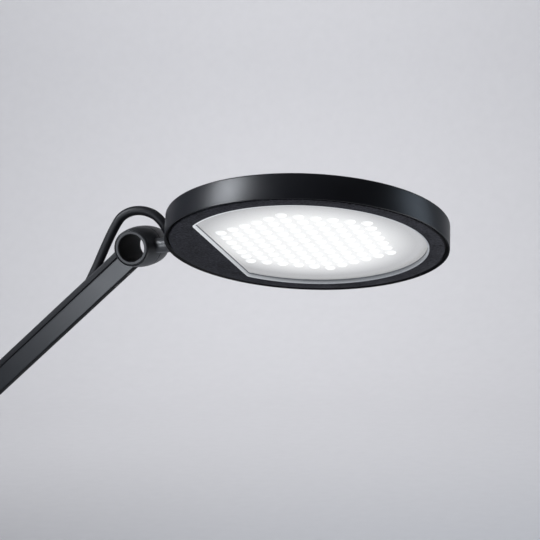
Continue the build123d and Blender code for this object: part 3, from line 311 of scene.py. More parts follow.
def placed(origin, x, z):
    """Matrix from a piece's own millimetres to the lamp's, given its x and z directions."""
    y = z.cross(x)
    return Matrix.Translation(origin) @ Matrix((x, y, z)).transposed().to_4x4()


SHOULDER = Vector((0, -SHAFT_OFFSET, SHOULDER_HEIGHT))
ELBOW = SHOULDER + heading(LOWER_ARM_ANGLE) * LOWER_ARM_LENGTH
TILT = ELBOW + heading(UPPER_ARM_ANGLE) * UPPER_ARM_LENGTH
NECK = heading(NECK_ANGLE)
HEAD_TOP = heading(NECK_ANGLE + 90) * cos(radians(HEAD_ROLL)) + Y_AXIS * sin(radians(HEAD_ROLL))
HEAD = placed(TILT - Y_AXIS * SHAFT_OFFSET + NECK * NECK_REACH, NECK, HEAD_TOP)
LOWER_ARM = placed(SHOULDER - Y_AXIS * ARM_OFFSET, heading(LOWER_ARM_ANGLE), -Y_AXIS)
UPPER_ARM = placed(ELBOW + Y_AXIS * ARM_OFFSET, heading(UPPER_ARM_ANGLE), -Y_AXIS)
print("head centre", tuple(round(v, 1) for v in HEAD.translation))

# %% [markdown]
# ## The lit parts
# Small diodes shine through a white moulded optic. The clear cover's edge glows as well: partly
# with their light, and partly with a painted highlight that is brighter towards the front left and
# a painted shade that darkens it deeper in. Emission makes all of it: near white on the domes, and
# on the panel a grey that gets darker with the distance from the head's middle. The lamps of the
# studio don't have to light the panel then, and it looks lit in any room.

# %% Lit finishes
HEAD_MIDDLE = tuple(HEAD.translation / 1000)
GLOW_FALLS_FROM, GLOW_FALLS_OVER = 0.052, 0.024      # metres from the head's middle
# The cover's edge glows brightest at BRIGHT_SIDE, a painted highlight, and fades to painted shade
# over EDGE_FADE.
EDGE_FACE, EDGE_FADE = -8.4, 2.2                     # the cover's edge: its face, and its fading
BRIGHT_SIDE, WINDOW_R = 50, 86                       # degrees round the head, and its window


def from_head(finish):
    sockets = {0: finish.place, 1: HEAD_MIDDLE}
    return finish.node("VectorMath", {"operation": "SUBTRACT"}, sockets)


def along(finish, direction):
    """Distance in metres from the head's middle, measured along a direction."""
    sockets = {0: from_head(finish), 1: tuple(direction)}
    return finish.node("VectorMath", {"operation": "DOT_PRODUCT"}, sockets, output="Value")


def glowing(name, strength, centre, edge):
    """White plastic that shines in colour centre, and further out falls to colour edge."""
    finish = Finish(
        name, Roughness=0.5, Emission_Strength=strength, Base_Color=(0.10, 0.10, 0.11, 1)
    )
    offset = from_head(finish)
    distance = finish.node("VectorMath", {"operation": "LENGTH"}, {0: offset}, output="Value")
    fall = (distance - GLOW_FALLS_FROM) * (1 / GLOW_FALLS_OVER)
    finish.feed(Emission_Color=finish.colour(fall, centre, edge))
    return finish.material


def edge_glow_with_painted_light(name):
    """Diode glow and a painted highlight towards the front left; painted shade deeper in."""
    finish = Finish(name, Roughness=0.3, Emission_Strength=1.0, Base_Color=(0.02, 0.02, 0.022, 1))
    # Brighter towards BRIGHT_SIDE: painted highlight. Darker deeper in: painted shade.
    around_head = Vector((cos(radians(BRIGHT_SIDE)), sin(radians(BRIGHT_SIDE)), 0))
    side = along(finish, HEAD.to_3x3() @ around_head) * (500 / WINDOW_R) + 0.5
    face = finish.colour(side, (0.60, 0.62, 0.64), (0.17, 0.18, 0.20))
    painted_shade_back = finish.colour(side * 1.3, (0.50, 0.52, 0.54), (0.04, 0.045, 0.05))
    depth = (along(finish, HEAD_TOP) - EDGE_FACE / 1000) * (1000 / EDGE_FADE)
    finish.feed(Emission_Color=finish.colour(depth, face, painted_shade_back))
    return finish.material


def clear(name):
    return Finish(
        name, Base_Color=(0.9, 0.93, 0.95, 1), Alpha=0.04, Roughness=0.05, IOR=1.49
    ).material


DOME_GLOW = glowing("dome_glow", 1.0, (0.90, 0.90, 0.885), (0.80, 0.80, 0.79))
PANEL_GLOW = glowing("panel_glow", 1.0, (0.74, 0.74, 0.72), (0.31, 0.306, 0.298))
EDGE_GLOW_AND_HIGHLIGHT = edge_glow_with_painted_light("edge_glow")
CHIP_GLOW = glowing("chip_glow", 2.0, (1, 1, 1), (1, 1, 1))
LENS_CLEAR = clear("lens_clear")
WALL_GREY = moulded("wall_grey", (0.045, 0.05, 0.06), 0.4, 2000, 0.01, 0.1)
print("lit:", DOME_GLOW.name, PANEL_GLOW.name, EDGE_GLOW_AND_HIGHLIGHT.name, CHIP_GLOW.name, LENS_CLEAR.name)

# %% [markdown]
# ## Making pieces
# Most of the lamp is turned or extruded, so most pieces start as an outline that is spun or
# pushed. They are drawn in millimetres in their own axes, then moved to their place and turned to
# metres at the end, when the normals are set and the sharp edges are marked.

# %% Piece helpers
METRES = Matrix.Scale(0.001, 4)
FINE_STEPS = 256           # sides of the largest rings
SHARP = 30                 # degrees between two faces


def off_axis(point):
    return hypot(point.x, point.y)


def spun(outline, steps=96):
    """Outline of (radius, height) corners turned round Z; it may start and end on the axis."""
    mesh = bmesh.new()
    corners = [mesh.verts.new((radius, 0, height)) for radius, height in outline]
    pairs = list(zip(corners, corners[1:]))
    if outline[0][0] > 0:
        pairs.append((corners[-1], corners[0]))
    edges = [mesh.edges.new(pair) for pair in pairs]
    bmesh.ops.spin(
        mesh, geom=corners + edges, axis=(0, 0, 1), cent=(0, 0, 0), angle=2 * pi, steps=steps,
        use_merge=True,
    )
    bmesh.ops.remove_doubles(mesh, verts=mesh.verts, dist=1e-4)
    bmesh.ops.recalc_face_normals(mesh, faces=mesh.faces)
    return mesh


def bevelled(mesh, items, kind, width, segments):
    bmesh.ops.bevel(
        mesh, geom=items, offset=width, offset_type="OFFSET", affect=kind, segments=segments,
        profile=0.5, material=-1, clamp_overlap=kind == "EDGES",
    )
    return mesh


def rounded(mesh, width, where=lambda point: True, segments=3, sharper=SHARP):
    """Bevel the sharp edges whose middle passes the test."""
    edges = [
        edge for edge in mesh.edges
        if edge.is_manifold and degrees(edge.calc_face_angle(0)) > sharper
        and where((edge.verts[0].co + edge.verts[1].co) / 2)
    ]
    return bevelled(mesh, edges, "EDGES", width, segments)


def pushed(mesh, step):
    """Extrude a flat mesh into a solid."""
    made = bmesh.ops.extrude_face_region(mesh, geom=list(mesh.faces))["geom"]
    top = [item for item in made if isinstance(item, bmesh.types.BMVert)]
    bmesh.ops.translate(mesh, verts=top, vec=step)
    bmesh.ops.recalc_face_normals(mesh, faces=mesh.faces)
    return mesh


def block(x0, x1, y0, y1, z0, z1):
    mesh = bmesh.new()
    size = (x1 - x0, y1 - y0, z1 - z0)
    middle = ((x0 + x1) / 2, (y0 + y1) / 2, (z0 + z1) / 2)
    place = Matrix.Translation(middle) @ Matrix.Diagonal((*size, 1))
    bmesh.ops.create_cube(mesh, size=1, matrix=place)
    return mesh


def rod(radius, z0, z1, steps=64):
    return spun([(0, z0), (radius, z0), (radius, z1), (0, z1)], steps)


def moved(mesh, matrix):
    mesh.transform(matrix)
    return mesh


def joined(*meshes):
    """One mesh from several."""
    first = meshes[0]
    for other in meshes[1:]:
        copy = bpy.data.meshes.new("copy")
        other.to_mesh(copy)
        first.from_mesh(copy)
        bpy.data.meshes.remove(copy)
        other.free()
    return first


def linked(name, data):
    """Object in the scene that holds the data."""
    thing = bpy.data.objects.new(name, data)
    bpy.context.scene.collection.objects.link(thing)
    return thing


def cut(mesh, *tools):
    """Take the tools' volumes out of a mesh with Boolean modifiers."""
    objects = []
    for item in (mesh, *tools):
        data = bpy.data.meshes.new("cutting")
        item.to_mesh(data)
        item.free()
        objects.append(linked("cutting", data))
    for tool in objects[1:]:
        modifier = objects[0].modifiers.new("cut", "BOOLEAN")
        modifier.object, modifier.operation, modifier.solver = tool, "DIFFERENCE", "EXACT"
    result = bmesh.new()
    result.from_object(objects[0], bpy.context.evaluated_depsgraph_get())
    for item in objects:
        bpy.data.meshes.remove(item.data)
    return result


def solid(name, mesh, material, smooth):
    """Smooth object from a finished mesh, with edges sharper than so many degrees kept sharp."""
    data = bpy.data.meshes.new(name)
    mesh.to_mesh(data)
    mesh.free()
    data.shade_smooth()
    data.set_sharp_from_angle(angle=radians(smooth))
    data.materials.append(material)
    print(f"{name}: {len(data.polygons)} faces")
    return linked(name, data)


def shown(name, mesh, where, body, material, slot, *nodes, smooth=SHARP):
    """Turn a mesh into the piece of that name, which rides on a body."""
    piece = solid(name, moved(mesh, METRES @ where), material, smooth)
    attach(piece, body)
    if nodes:
        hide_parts(*nodes)


print("piece helpers ready")

# %% [markdown]
# ## The head's housing
# The housing is a shallow dish spun from aluminium, open below. Its outer top edge has a visible
# radius and its lip a fine one. Spinning one outline gives the dish, bevels on the sharp rings
# give the radii, and two bores take the roll bush and the flex's gland.

# %% Housing
HEAD_R, HEAD_HALF, HEAD_WALL = 100, 8.9, 2
SKIN_R, LIP_R = HEAD_R - 0.04, 99.6      # the skin is a hair inside the CAD solid
PIN_BORE_R, GLAND_BORE_R, BORE_LENGTH = 4.75, 4.95, 12
GLAND_Y, GLAND_Z = 2 * SHAFT_OFFSET, 1.5
GLAND_OUT = Vector((-sqrt(HEAD_R**2 - GLAND_Y**2), GLAND_Y, 0)) / HEAD_R
GLAND_AT = GLAND_OUT * HEAD_R + Vector((0, 0, GLAND_Z))


def facing(origin, axis):
    """Place whose local z runs along a direction."""
    return Matrix.Translation(origin) @ axis.to_track_quat("Z", "Y").to_matrix().to_4x4()


def bore(origin, axis, radius, length):
    """Cylinder with its middle at a point, along a direction."""
    return moved(rod(radius, -length / 2, length / 2), facing(origin, axis))


ceiling, inside = HEAD_HALF - HEAD_WALL, HEAD_R - HEAD_WALL
housing = spun([
    (0, ceiling), (inside, ceiling), (inside, -ceiling), (LIP_R, -8.7), (LIP_R, -HEAD_HALF),
    (SKIN_R, -HEAD_HALF), (SKIN_R, HEAD_HALF), (0, HEAD_HALF),
], FINE_STEPS)
rounded(housing, 1.2, lambda p: p.z > 8.5 and off_axis(p) > 99, 6)
rounded(housing, 0.3, lambda p: p.z < -8.8 and off_axis(p) > 99.8, 4)
housing = cut(
    housing,
    bore(Vector((-99, 0, 0)), X_AXIS, PIN_BORE_R, BORE_LENGTH),
    bore(GLAND_AT, GLAND_OUT, GLAND_BORE_R, BORE_LENGTH),
)
boss = rounded(block(-98.5, -76, -6.3, 6.3, -7, 7), 0.4)
boss = cut(boss, bore(Vector((-87, 0, 0)), X_AXIS, PIN_BORE_R, 40))
shown("housing", joined(housing, boss), HEAD, "head", SATIN_BLACK, "frame_black", "head_housing")

# %% [markdown]
# ## The window's outline
# The opening in the head is a circle with a straight edge on the neck's side, and small radii at
# the two corners. The bezel, the clear cover and the optic all follow it with more or less room,
# so one function gives the outline at any inset. A plane cuts the straight edge from a disc.

# %% Window's outline
CHORD, CORNER = -64.2, 2.2
CIRCLE_STEPS = 192


def opening(inset, corner=2.0):
    """The opening's outline moved inwards: radius, straight edge and corner radius."""
    return WINDOW_R - inset, CHORD + inset, corner


def cut_circle(radius, chord, corner, height):
    """Disc with a straight side at x = chord."""
    mesh = bmesh.new()
    place = Matrix.Translation((0, 0, height))
    bmesh.ops.create_circle(
        mesh, cap_ends=True, radius=radius, segments=CIRCLE_STEPS, matrix=place
    )
    bmesh.ops.bisect_plane(
        mesh, geom=[*mesh.verts, *mesh.edges, *mesh.faces], plane_co=(chord, 0, height),
        plane_no=(1, 0, 0), clear_inner=True,
    )
    if corner:
        ends = [v for v in mesh.verts if abs(v.co.x - chord) < 1e-3]
        bevelled(mesh, ends, "VERTICES", corner, 6)
    return mesh


def cut_edge(outline, height):
    """The rim of such a disc, without its face."""
    mesh = cut_circle(*outline, height)
    bmesh.ops.delete(mesh, geom=list(mesh.faces), context="FACES_ONLY")
    return mesh


def ring_between(outer, inner, depth):
    """Flat ring between two rims, pushed to its depth."""
    mesh = joined(outer, inner)
    edges = list(mesh.edges)
    bmesh.ops.triangle_fill(mesh, use_beauty=True, use_dissolve=False, edges=edges)
    return pushed(mesh, (0, 0, depth))


def window_plate(outline, z0, z1):
    return pushed(cut_circle(*outline, z0), (0, 0, z1 - z0))


def window_ring(outer, inner, z0, z1):
    return ring_between(cut_edge(outer, z0), cut_edge(inner, z0), z1 - z0)


print("opening:", opening(0, CORNER))

# %% [markdown]
# ## The bezel
# A flat moulded ring holds the clear cover in the head. Behind it a seat closes the gap to the
# housing, and a sheet lies on the chamfer and flat inside the lip; both are dull black, a painted
# shade in the groove round the bezel and on the lip. The ring is filled flat between its two
# outlines and pushed to its thickness, because only one outline is round; the seat is spun.

# %% Bezel
BEZEL_R, BEZEL_FACE, BEZEL_BACK = 96.4, -8.6, -7.1

bezel = bmesh.new()
place = Matrix.Translation((0, 0, BEZEL_FACE))
bmesh.ops.create_circle(bezel, radius=BEZEL_R, segments=FINE_STEPS, matrix=place)
bezel = ring_between(bezel, cut_edge(opening(0, CORNER), BEZEL_FACE), BEZEL_BACK - BEZEL_FACE)
rounded(bezel, 0.3, lambda p: p.z < -8.5)
shown("bezel", bezel, HEAD, "head", BEZEL_GRAIN, "bezel_grey", "head_bezel")

# Seat and lip sheet in dull black: painted shade in the groove round the bezel and on the lip.
seat = spun([
    (94.4, BEZEL_BACK), (95.6, BEZEL_BACK), (95.6, -5.4), (97.9, -5.4), (97.9, -4.6),
    (BEZEL_R, -4.6), (BEZEL_R, 6.8), (94.4, 6.8),
], FINE_STEPS)
lip_shade_sheet = spun([
    (97.97, -6.6), (99.2, -8.86), (99.62, -8.86), (99.62, -8.6), (98.4, -6.6),
], FINE_STEPS)
shown("bezel_seat", joined(seat, lip_shade_sheet), HEAD, "head", DULL_BLACK_AND_SHADE, "bezel_grey")

# %% [markdown]
# ## The light window
# From the front there are four layers: a clear cover, its thick edge that glows with diode light
# and a painted highlight, a dark gap behind it, and the white optic. Each layer follows the
# opening at its own inset and has its own finish, so each is a plate or a ring of its own.

# %% Cover, edge and gap
EDGE_BACK = -6.25

lens = window_plate(opening(0.1, CORNER), -8.55, -8.45)
shown("lens", lens, HEAD, "head", LENS_CLEAR, "clear", "lens")
# The cover's edge: diode glow with a painted highlight and painted shade.
edge = rounded(window_ring(opening(0.3, 2.1), opening(1.4), EDGE_FACE, EDGE_BACK), 0.12)
shown("lens_edge", edge, HEAD, "head", EDGE_GLOW_AND_HIGHLIGHT, "optic_white")
gap = window_ring(opening(-0.2, 2.1), opening(1.3), EDGE_BACK, -4.95)
shown("lens_gap", gap, HEAD, "head", WALL_GREY, "bezel_grey")

# %% [markdown]
# ## The optic
# The white moulding behind the cover has a low dome over every diode. One dome is a short cone
# with a bevelled top, copied over a staggered grid: the rows get shorter by one on either side of
# the middle. Copying one mesh keeps all the domes alike.

# %% Optic
OPTIC_FACE, OPTIC_BACK = -4.9, -3.1
LED_PITCH, LONGEST_ROW, SIDE_ROWS = 10.5, 12, 5

optic = window_plate(opening(-2.8, 0), OPTIC_FACE, OPTIC_BACK)
step = rounded(window_ring(opening(1.6), opening(2.4), -5.5, -4.85), 0.12)
shown("optic", joined(optic, step), HEAD, "head", PANEL_GLOW, "optic_white", "led_optic")

dome = bmesh.new()
bmesh.ops.create_cone(
    dome, cap_ends=True, segments=20, radius1=3.1, radius2=4.0, depth=1.1,
    matrix=Matrix.Translation((0, 0, -5.45)),
)
rounded(dome, 0.7, lambda p: p.z < -5.9, 2)
one = bpy.data.meshes.new("dome")
dome.to_mesh(one)
dome.free()
domes = bmesh.new()
for row in range(-SIDE_ROWS, SIDE_ROWS + 1):
    count = LONGEST_ROW - abs(row)
    for k in range(count):
        before = len(domes.verts)
        domes.from_mesh(one)
        domes.verts.ensure_lookup_table()
        spot = (row * LED_PITCH, (k - (count - 1) / 2) * LED_PITCH, 0)
        bmesh.ops.translate(domes, verts=domes.verts[before:], vec=spot)
bpy.data.meshes.remove(one)
shown("domes", domes, HEAD, "head", DOME_GLOW, "optic_white", smooth=60)

# %% [markdown]
# ## Clips
# Six small lugs stand between the cover and the optic. Each is a block with softened edges that
# is turned round the head's axis to its angle, three on either side.

# %% Clips
CLIP_ANGLES = (69, 107, 135)

clips = []
for side in (1, -1):
    for angle in CLIP_ANGLES:
        lug = rounded(block(83.9, 85.3, -2.2, 2.2, -6.2, -5), 0.25)
        clips.append(moved(lug, Matrix.Rotation(radians(side * angle), 4, "Z")))
shown("clips", joined(*clips), HEAD, "head", WALL_GREY, "bezel_grey", "lens_clips")

# %% [markdown]
# ## Hinge barrels
# Each hinge is a barrel in two halves on a hollow sleeve. One half turns on the other at the seam
# in the middle. A half is one spun outline with a bulging side; the sleeve's flange fills the
# end of one half and a screwed ring the end of the other.

# %% Barrel pieces
BORE_R, SLEEVE_R, THROAT_R, FLANGE_R, BARREL_R = 10.0, 11.0, 11.05, 12.3, 15.0
HALF_START, HALF_END, SLEEVE_END = 0.15, 20.75, 20.6
TONGUE_START, TONGUE_END = 12.5, 45
BARREL_STEPS = 128


def hinge(centre):
    """Place whose local z runs along the hinge's axis, towards +Y."""
    return placed(centre, X_AXIS, Y_AXIS)


def mirrored(mesh, side):
    """The same piece for the half on that side, -1 towards the front and 1 towards the back."""
    if side < 0:
        bmesh.ops.scale(mesh, vec=(1, 1, -1), verts=mesh.verts)
        bmesh.ops.recalc_face_normals(mesh, faces=mesh.faces)
    return mesh


def barrel_half(side, turning):
    """Half of a barrel. Its side bulges: a wide bevel on a shallow corner halfway along."""
    middle = (HALF_START + HALF_END) / 2
    room = 0.25 if turning else 0
    seat = HALF_END - (3.25 if turning else 1.6)
    mesh = spun([
        (BARREL_R, HALF_START), (BARREL_R, middle), (13.2, HALF_END), (12.35 + room, HALF_END),
        (12.35 + room, seat), (THROAT_R, seat), (THROAT_R, 0.8), (13.35 + room, 0.8),
        (13.35 + room, HALF_START),
    ], BARREL_STEPS)
    rounded(mesh, 0.65, lambda p: p.z > HALF_END - 0.01 and off_axis(p) > 13)
    rounded(mesh, 0.45, lambda p: p.z < HALF_START + 0.01 and off_axis(p) > 14)
    rounded(mesh, 9.0, lambda p: abs(p.z - middle) < 0.1 and off_axis(p) > 14, 10, 4)
    return mirrored(mesh, side)


def capped(outline, side):
    """Spun piece whose outer end has a fine radius."""
    return mirrored(rounded(spun(outline, BARREL_STEPS), 0.3, lambda p: p.z > 20.5), side)


def sleeve(side):
    """Hollow axle with its flange in the half on that side."""
    return capped([
        (BORE_R, -19.5), (SLEEVE_R, -19.5), (SLEEVE_R, 19.15), (FLANGE_R, 19.15),
        (FLANGE_R, SLEEVE_END), (BORE_R, SLEEVE_END),
    ], side)


def end_ring(side):
    return capped([
        (BORE_R, 19.55), (BORE_R, SLEEVE_END), (FLANGE_R, SLEEVE_END), (FLANGE_R, 18.35),
        (THROAT_R, 18.35), (THROAT_R, 19.55),
    ], side)


def tongue(arm, hinge_at):
    """Bar from a barrel into the end of an arm."""
    start, end = TONGUE_START, TONGUE_END
    x0, x1 = (start, end) if hinge_at == 0 else (hinge_at - end, hinge_at - start)
    return moved(rounded(block(x0, x1, -6.2, -1.5, -3.2, 3.2), 0.3), arm)


print("barrel radius", BARREL_R)

# %% [markdown]
# ## The hinges of the arms
# The shoulder, the elbow and the tilt hinge share one design, so a table says where each half
# goes, on which body and whether it's the half that turns. Each half gets a flat tongue that
# reaches into its arm, so that the joint between the round barrel and the square bar is solid.

# %% Hinges of the arms
NEAR, FAR = -1, 1
KNUCKLES = (
    ("shoulder_knuckle", SHOULDER, "lower_arm", NEAR, LOWER_ARM, 0, False),
    ("elbow_lower_knuckle", ELBOW, "lower_arm", NEAR, LOWER_ARM, LOWER_ARM_LENGTH, True),
    ("elbow_upper_knuckle", ELBOW, "upper_arm", FAR, UPPER_ARM, 0, False),
    ("head_arm_knuckle", TILT, "upper_arm", FAR, UPPER_ARM, UPPER_ARM_LENGTH, False),
)
SLEEVES = (
    ("shoulder", SHOULDER, "lower_arm", NEAR),
    ("elbow", ELBOW, "upper_arm", FAR),
    ("tilt", TILT, "upper_arm", FAR),
)

for name, centre, body, side, arm, hinge_at, turning in KNUCKLES:
    half = moved(barrel_half(side, turning), hinge(centre))
    skin = joined(half, tongue(arm, hinge_at))
    shown(name + "_skin", skin, Matrix(), body, HINGE_BLACK, "hinge_black", name)

# The sleeves are dull black, darker than their steel: painted shade in the barrels' bores.
for name, centre, body, side in SLEEVES:
    axle, ring = name + "_sleeve", name + "_end_ring"
    shown(axle + "_skin", sleeve(side), hinge(centre), body, DULL_BLACK_AND_SHADE, "sleeve_black", axle)
    skin = end_ring(-side)
    shown(name + "_ring_skin", skin, hinge(centre), body, HINGE_BLACK, "sleeve_black", ring)

# %% [markdown]
# ## The neck and the column
# The head's half barrel carries the neck, whose thin pin turns in the head's bush. The column
# carries the shoulder's half barrel and turns in the base. Both are a barrel half with a spun
# shaft that starts inside the barrel's wall.

# %% Neck and column
NECK_R, PIN_R, BUSH_BORE_R, BUSH_R, BUSH_LIP = 5.45, 3.5, 3.55, 4.7, 1.05

neck_end = NECK_REACH - HEAD_R - BUSH_LIP - 0.3
neck = spun([
    (0, 12.6), (NECK_R, 12.6), (NECK_R, neck_end), (PIN_R, neck_end), (PIN_R, 54.9), (0, 54.9),
], 64)
neck_place = placed(TILT - Y_AXIS * SHAFT_OFFSET, Y_AXIS, NECK)
shown("neck_pin", rounded(neck, 0.25), neck_place, "head_knuckle", PIN_BLACK, "hinge_black")
half = moved(barrel_half(NEAR, True), hinge(TILT))
shown("neck_knuckle", half, Matrix(), "head_knuckle", HINGE_BLACK, "hinge_black", "head_knuckle")

lip_face, lip_back, bush_end = -HEAD_R - BUSH_LIP, -HEAD_R - 0.05, -76.05
bush = spun([
    (BUSH_BORE_R, lip_face), (NECK_R, lip_face), (NECK_R, lip_back), (BUSH_R, lip_back),
    (BUSH_R, bush_end), (BUSH_BORE_R, bush_end),
], 64)
bush_place = placed(HEAD.translation, Y_AXIS, NECK)
shown("neck_bush", rounded(bush, 0.15), bush_place, "head", BLACK_STEEL, "bronze", "roll_bush")

# From below: the swivel pin, a collar on the base, the shaft, and a taper up to the barrel.
shaft = spun([
    (0, 2.05), (6, 2.05), (6, 17.4), (13, 17.4), (13, 20), (8, 20), (8, 38), (NECK_R, 42),
    (NECK_R, 47.4), (0, 47.4),
], 96)
rounded(shaft, 0.3, lambda p: p.z > 19)
half = moved(barrel_half(FAR, True), hinge(SHOULDER))
shown("column", joined(half, shaft), Matrix(), "column", HINGE_BLACK, "hinge_black",
      "column_knuckle")

# %% [markdown]
# ## The arms
# An arm is an extruded bar with a channel along its top for the flex, closed by a clip-on cover.
# The bar's section is drawn as a face, its outer corners are bevelled and it is pushed to its
# length. A cylinder cuts both ends hollow, so that they sit against the round barrels.

# %% Arms
BAR_HALF, BAR_BOTTOM, BAR_TOP = 4.5, -7.2, 5.8
CHANNEL_HALF, CHANNEL_FLOOR = 3.7, -0.4
DUCT_HALF, DUCT_TOP, DUCT_FOOT = 4.3, 11.1, 7.2      # outside of the cover
LEG_OUT, LEG_IN, LEG_END, DUCT_CEILING = 3.6, 2.8, 5.0, 9.9
DUCT_END = 17.5                                      # from the hinge's axis
SLOT_LENGTH = 36                                     # opening in the cover for the flex


def section(corners, round_these, radius):
    """Face in the plane x = 0 whose chosen corners are rounded."""
    mesh = bmesh.new()
    verts = [mesh.verts.new((0, y, -across)) for across, y in corners]
    mesh.faces.new(verts)
    return bevelled(mesh, [verts[k] for k in round_these], "VERTICES", radius, 4)


def arm_bar(length):
    bar = section([
        (-BAR_HALF, BAR_BOTTOM), (BAR_HALF, BAR_BOTTOM), (BAR_HALF, BAR_TOP),
        (CHANNEL_HALF, BAR_TOP), (CHANNEL_HALF, CHANNEL_FLOOR), (-CHANNEL_HALF, CHANNEL_FLOOR),
        (-CHANNEL_HALF, BAR_TOP), (-BAR_HALF, BAR_TOP),
    ], (0, 1), 0.5)
    pushed(bar, (length, 0, 0))
    barrels = [
        moved(rod(BARREL_R + 0.1, -12, 12, BARREL_STEPS), Matrix.Translation((x, 0, 0)))
        for x in (0, length)
    ]
    return rounded(cut(bar, *barrels), 0.25, lambda p: p.y > 5.5, 2)


def duct(length, slots):
    cover = section([
        (-DUCT_HALF, DUCT_FOOT), (-DUCT_HALF, DUCT_TOP), (DUCT_HALF, DUCT_TOP),
        (DUCT_HALF, DUCT_FOOT), (LEG_OUT, DUCT_FOOT), (LEG_OUT, LEG_END), (LEG_IN, LEG_END),
        (LEG_IN, DUCT_CEILING), (-LEG_IN, DUCT_CEILING), (-LEG_IN, LEG_END), (-LEG_OUT, LEG_END),
        (-LEG_OUT, DUCT_FOOT),
    ], (1, 2), 1.2)
    moved(cover, Matrix.Translation((DUCT_END, 0, 0)))
    pushed(cover, (length - 2 * DUCT_END, 0, 0))
    openings = [
        rounded(block(x, x + SLOT_LENGTH, 4, 13, -3.7, 3.7), 2.5, lambda p: abs(p.y - 8.5) < 1, 5)
        for x in slots
    ]
    return rounded(cut(cover, *openings), 0.15, lambda p: p.y > 11, 2)


def foot_strip(length):
    """Dull strip on the lower edge, dull stops, and strips of painted shade beside the duct."""
    strip = block(15.6, length - 15.6, -7.5, BAR_BOTTOM, -4.4, 4.4)
    strip = rounded(strip, 0.12, segments=2)
    stops = [
        rounded(block(x, x + 5, 5.9, 11.13, -4.33, 4.33), 0.8) for x in (15.8, length - 20.8)
    ]
    # Two dull black strips in the gap between the bar and the duct's foot: painted shade there.
    painted_shade_strips = [block(17, length - 17, 4.9, 7.3, z, z + 0.25) for z in (-3.9, 3.65)]
    return joined(strip, *stops, *painted_shade_strips)


for name, place, length, slots in (
    ("lower_arm", LOWER_ARM, LOWER_ARM_LENGTH, (29, 235.9)),
    ("upper_arm", UPPER_ARM, UPPER_ARM_LENGTH, (28.1, 277)),
):
    bar, strip = arm_bar(length), foot_strip(length)
    shown(name + "_bar", bar, place, name, ARM_BLACK, "frame_black", name + "_profile")
    shown(name + "_duct", duct(length, slots), place, name, DUCT_BLACK, "duct_black",
          name + "_cover")
    shown(name + "_strip", strip, place, name, DULL_BLACK_AND_SHADE, "duct_black")

# %% [markdown]
# ## The flex
# One black round flex runs from the base to the head: straight in the ducts and in an open loop
# round each hinge. A NURBS curve of order three gives a smooth line from a few points, and each
# loop is a fixed curve between the two bodies that it joins.

# %% Flex
FLEX_R, FLEX_RISE = 3.5, 3.3             # the rise is the flex's height in the arm
LEAD = 12                                # straight end of a loop inside a duct
LOWER_RUN, UPPER_RUN = (67, 233.9), (66.1, 275)      # straight parts, from the lower hinge
OUTLET = Vector((-24, -SHAFT_OFFSET - ARM_OFFSET, 0))
RISER_TOP, OUTLET_TOP = 31.5, 15         # the shoulder loop's last two heights


def in_duct(arm, along):
    return arm @ Vector((along, FLEX_RISE, 0))


def around(centre, radius, angle, side):
    return centre + heading(angle) * radius + Y_AXIS * side


def tube(name, points, node):
    """Round flex along a smooth line."""
    curve = bpy.data.curves.new(name, "CURVE")
    curve.dimensions, curve.bevel_depth, curve.bevel_resolution = "3D", FLEX_R / 1000, 5
    curve.use_fill_caps = True
    line = curve.splines.new("NURBS")
    line.points.add(len(points) - 1)
    for point, spot in zip(line.points, points):
        point.co = (*(spot / 1000), 1)
    line.order_u, line.use_endpoint_u, line.resolution_u = 3, True, 16
    holder = bpy.data.objects.new(name, curve)
    data = bpy.data.meshes.new_from_object(holder)
    bpy.data.objects.remove(holder)
    bpy.data.curves.remove(curve)
    data.materials.clear()
    data.materials.append(FLEX_SHEATH)
    data.shade_smooth()
    piece = linked(name, data)
    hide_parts(node)
    print(f"{name}: {len(data.polygons)} faces")
    return piece


def loop(name, points, node, start, end):
    piece = tube(name, points, node)
    tuple(start / 1000)
    tuple(end / 1000)
    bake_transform(piece)


shoulder_bends = [
    around(SHOULDER, radius, angle, -ARM_OFFSET)
    for radius, angle in ((34.0, 136.2), (33.8, 172.3), (36.0, 203.7))
]
points = [
    in_duct(LOWER_ARM, LOWER_RUN[0]), in_duct(LOWER_ARM, LOWER_RUN[0] - LEAD), *shoulder_bends,
    OUTLET + Vector((0, 0, RISER_TOP)), OUTLET + Vector((0, 0, OUTLET_TOP)),
]
loop("shoulder_loop", points, "shoulder_flex", points[-2], points[0])

elbow_bends = [
    around(ELBOW, 25.8, angle, side)
    for angle, side in ((204.0, -4.5), (176.0, -1.8), (147.9, 1.8), (119.7, 4.5))
]
points = [
    in_duct(LOWER_ARM, LOWER_RUN[1]), in_duct(LOWER_ARM, LOWER_RUN[1] + LEAD), *elbow_bends,
    in_duct(UPPER_ARM, UPPER_RUN[0] - LEAD), in_duct(UPPER_ARM, UPPER_RUN[0]),
]
loop("elbow_loop", points, "elbow_flex", points[0], points[-1])

inward = HEAD.to_3x3() @ Vector((cos(radians(25)), 0, -sin(radians(25))))
entry = HEAD @ GLAND_AT
bends = [
    around(TILT, radius, angle, ARM_OFFSET)
    for radius, angle in ((28.5, 142.2), (28.2, 116.8), (26.4, 89.3), (24.4, 56.7))
]
top = (bends[1] + bends[2]) / 2
points = [in_duct(UPPER_ARM, UPPER_RUN[1]), in_duct(UPPER_ARM, 288), bends[0], bends[1], top]
loop("head_loop_arm_side", points, "head_flex_arm_side",
     points[0], top)
points = [top, bends[2], bends[3], entry - inward * 6.5, entry + inward * 6]
loop("head_loop_head_side", points, "head_flex_head_side", top, entry)

for name, arm, (start, end) in (
    ("lower_arm", LOWER_ARM, LOWER_RUN), ("upper_arm", UPPER_ARM, UPPER_RUN),
):
    run = [in_duct(arm, start + (end - start) * k / 3) for k in range(4)]
    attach(tube(name + "_run", run, name + "_flex"), name)

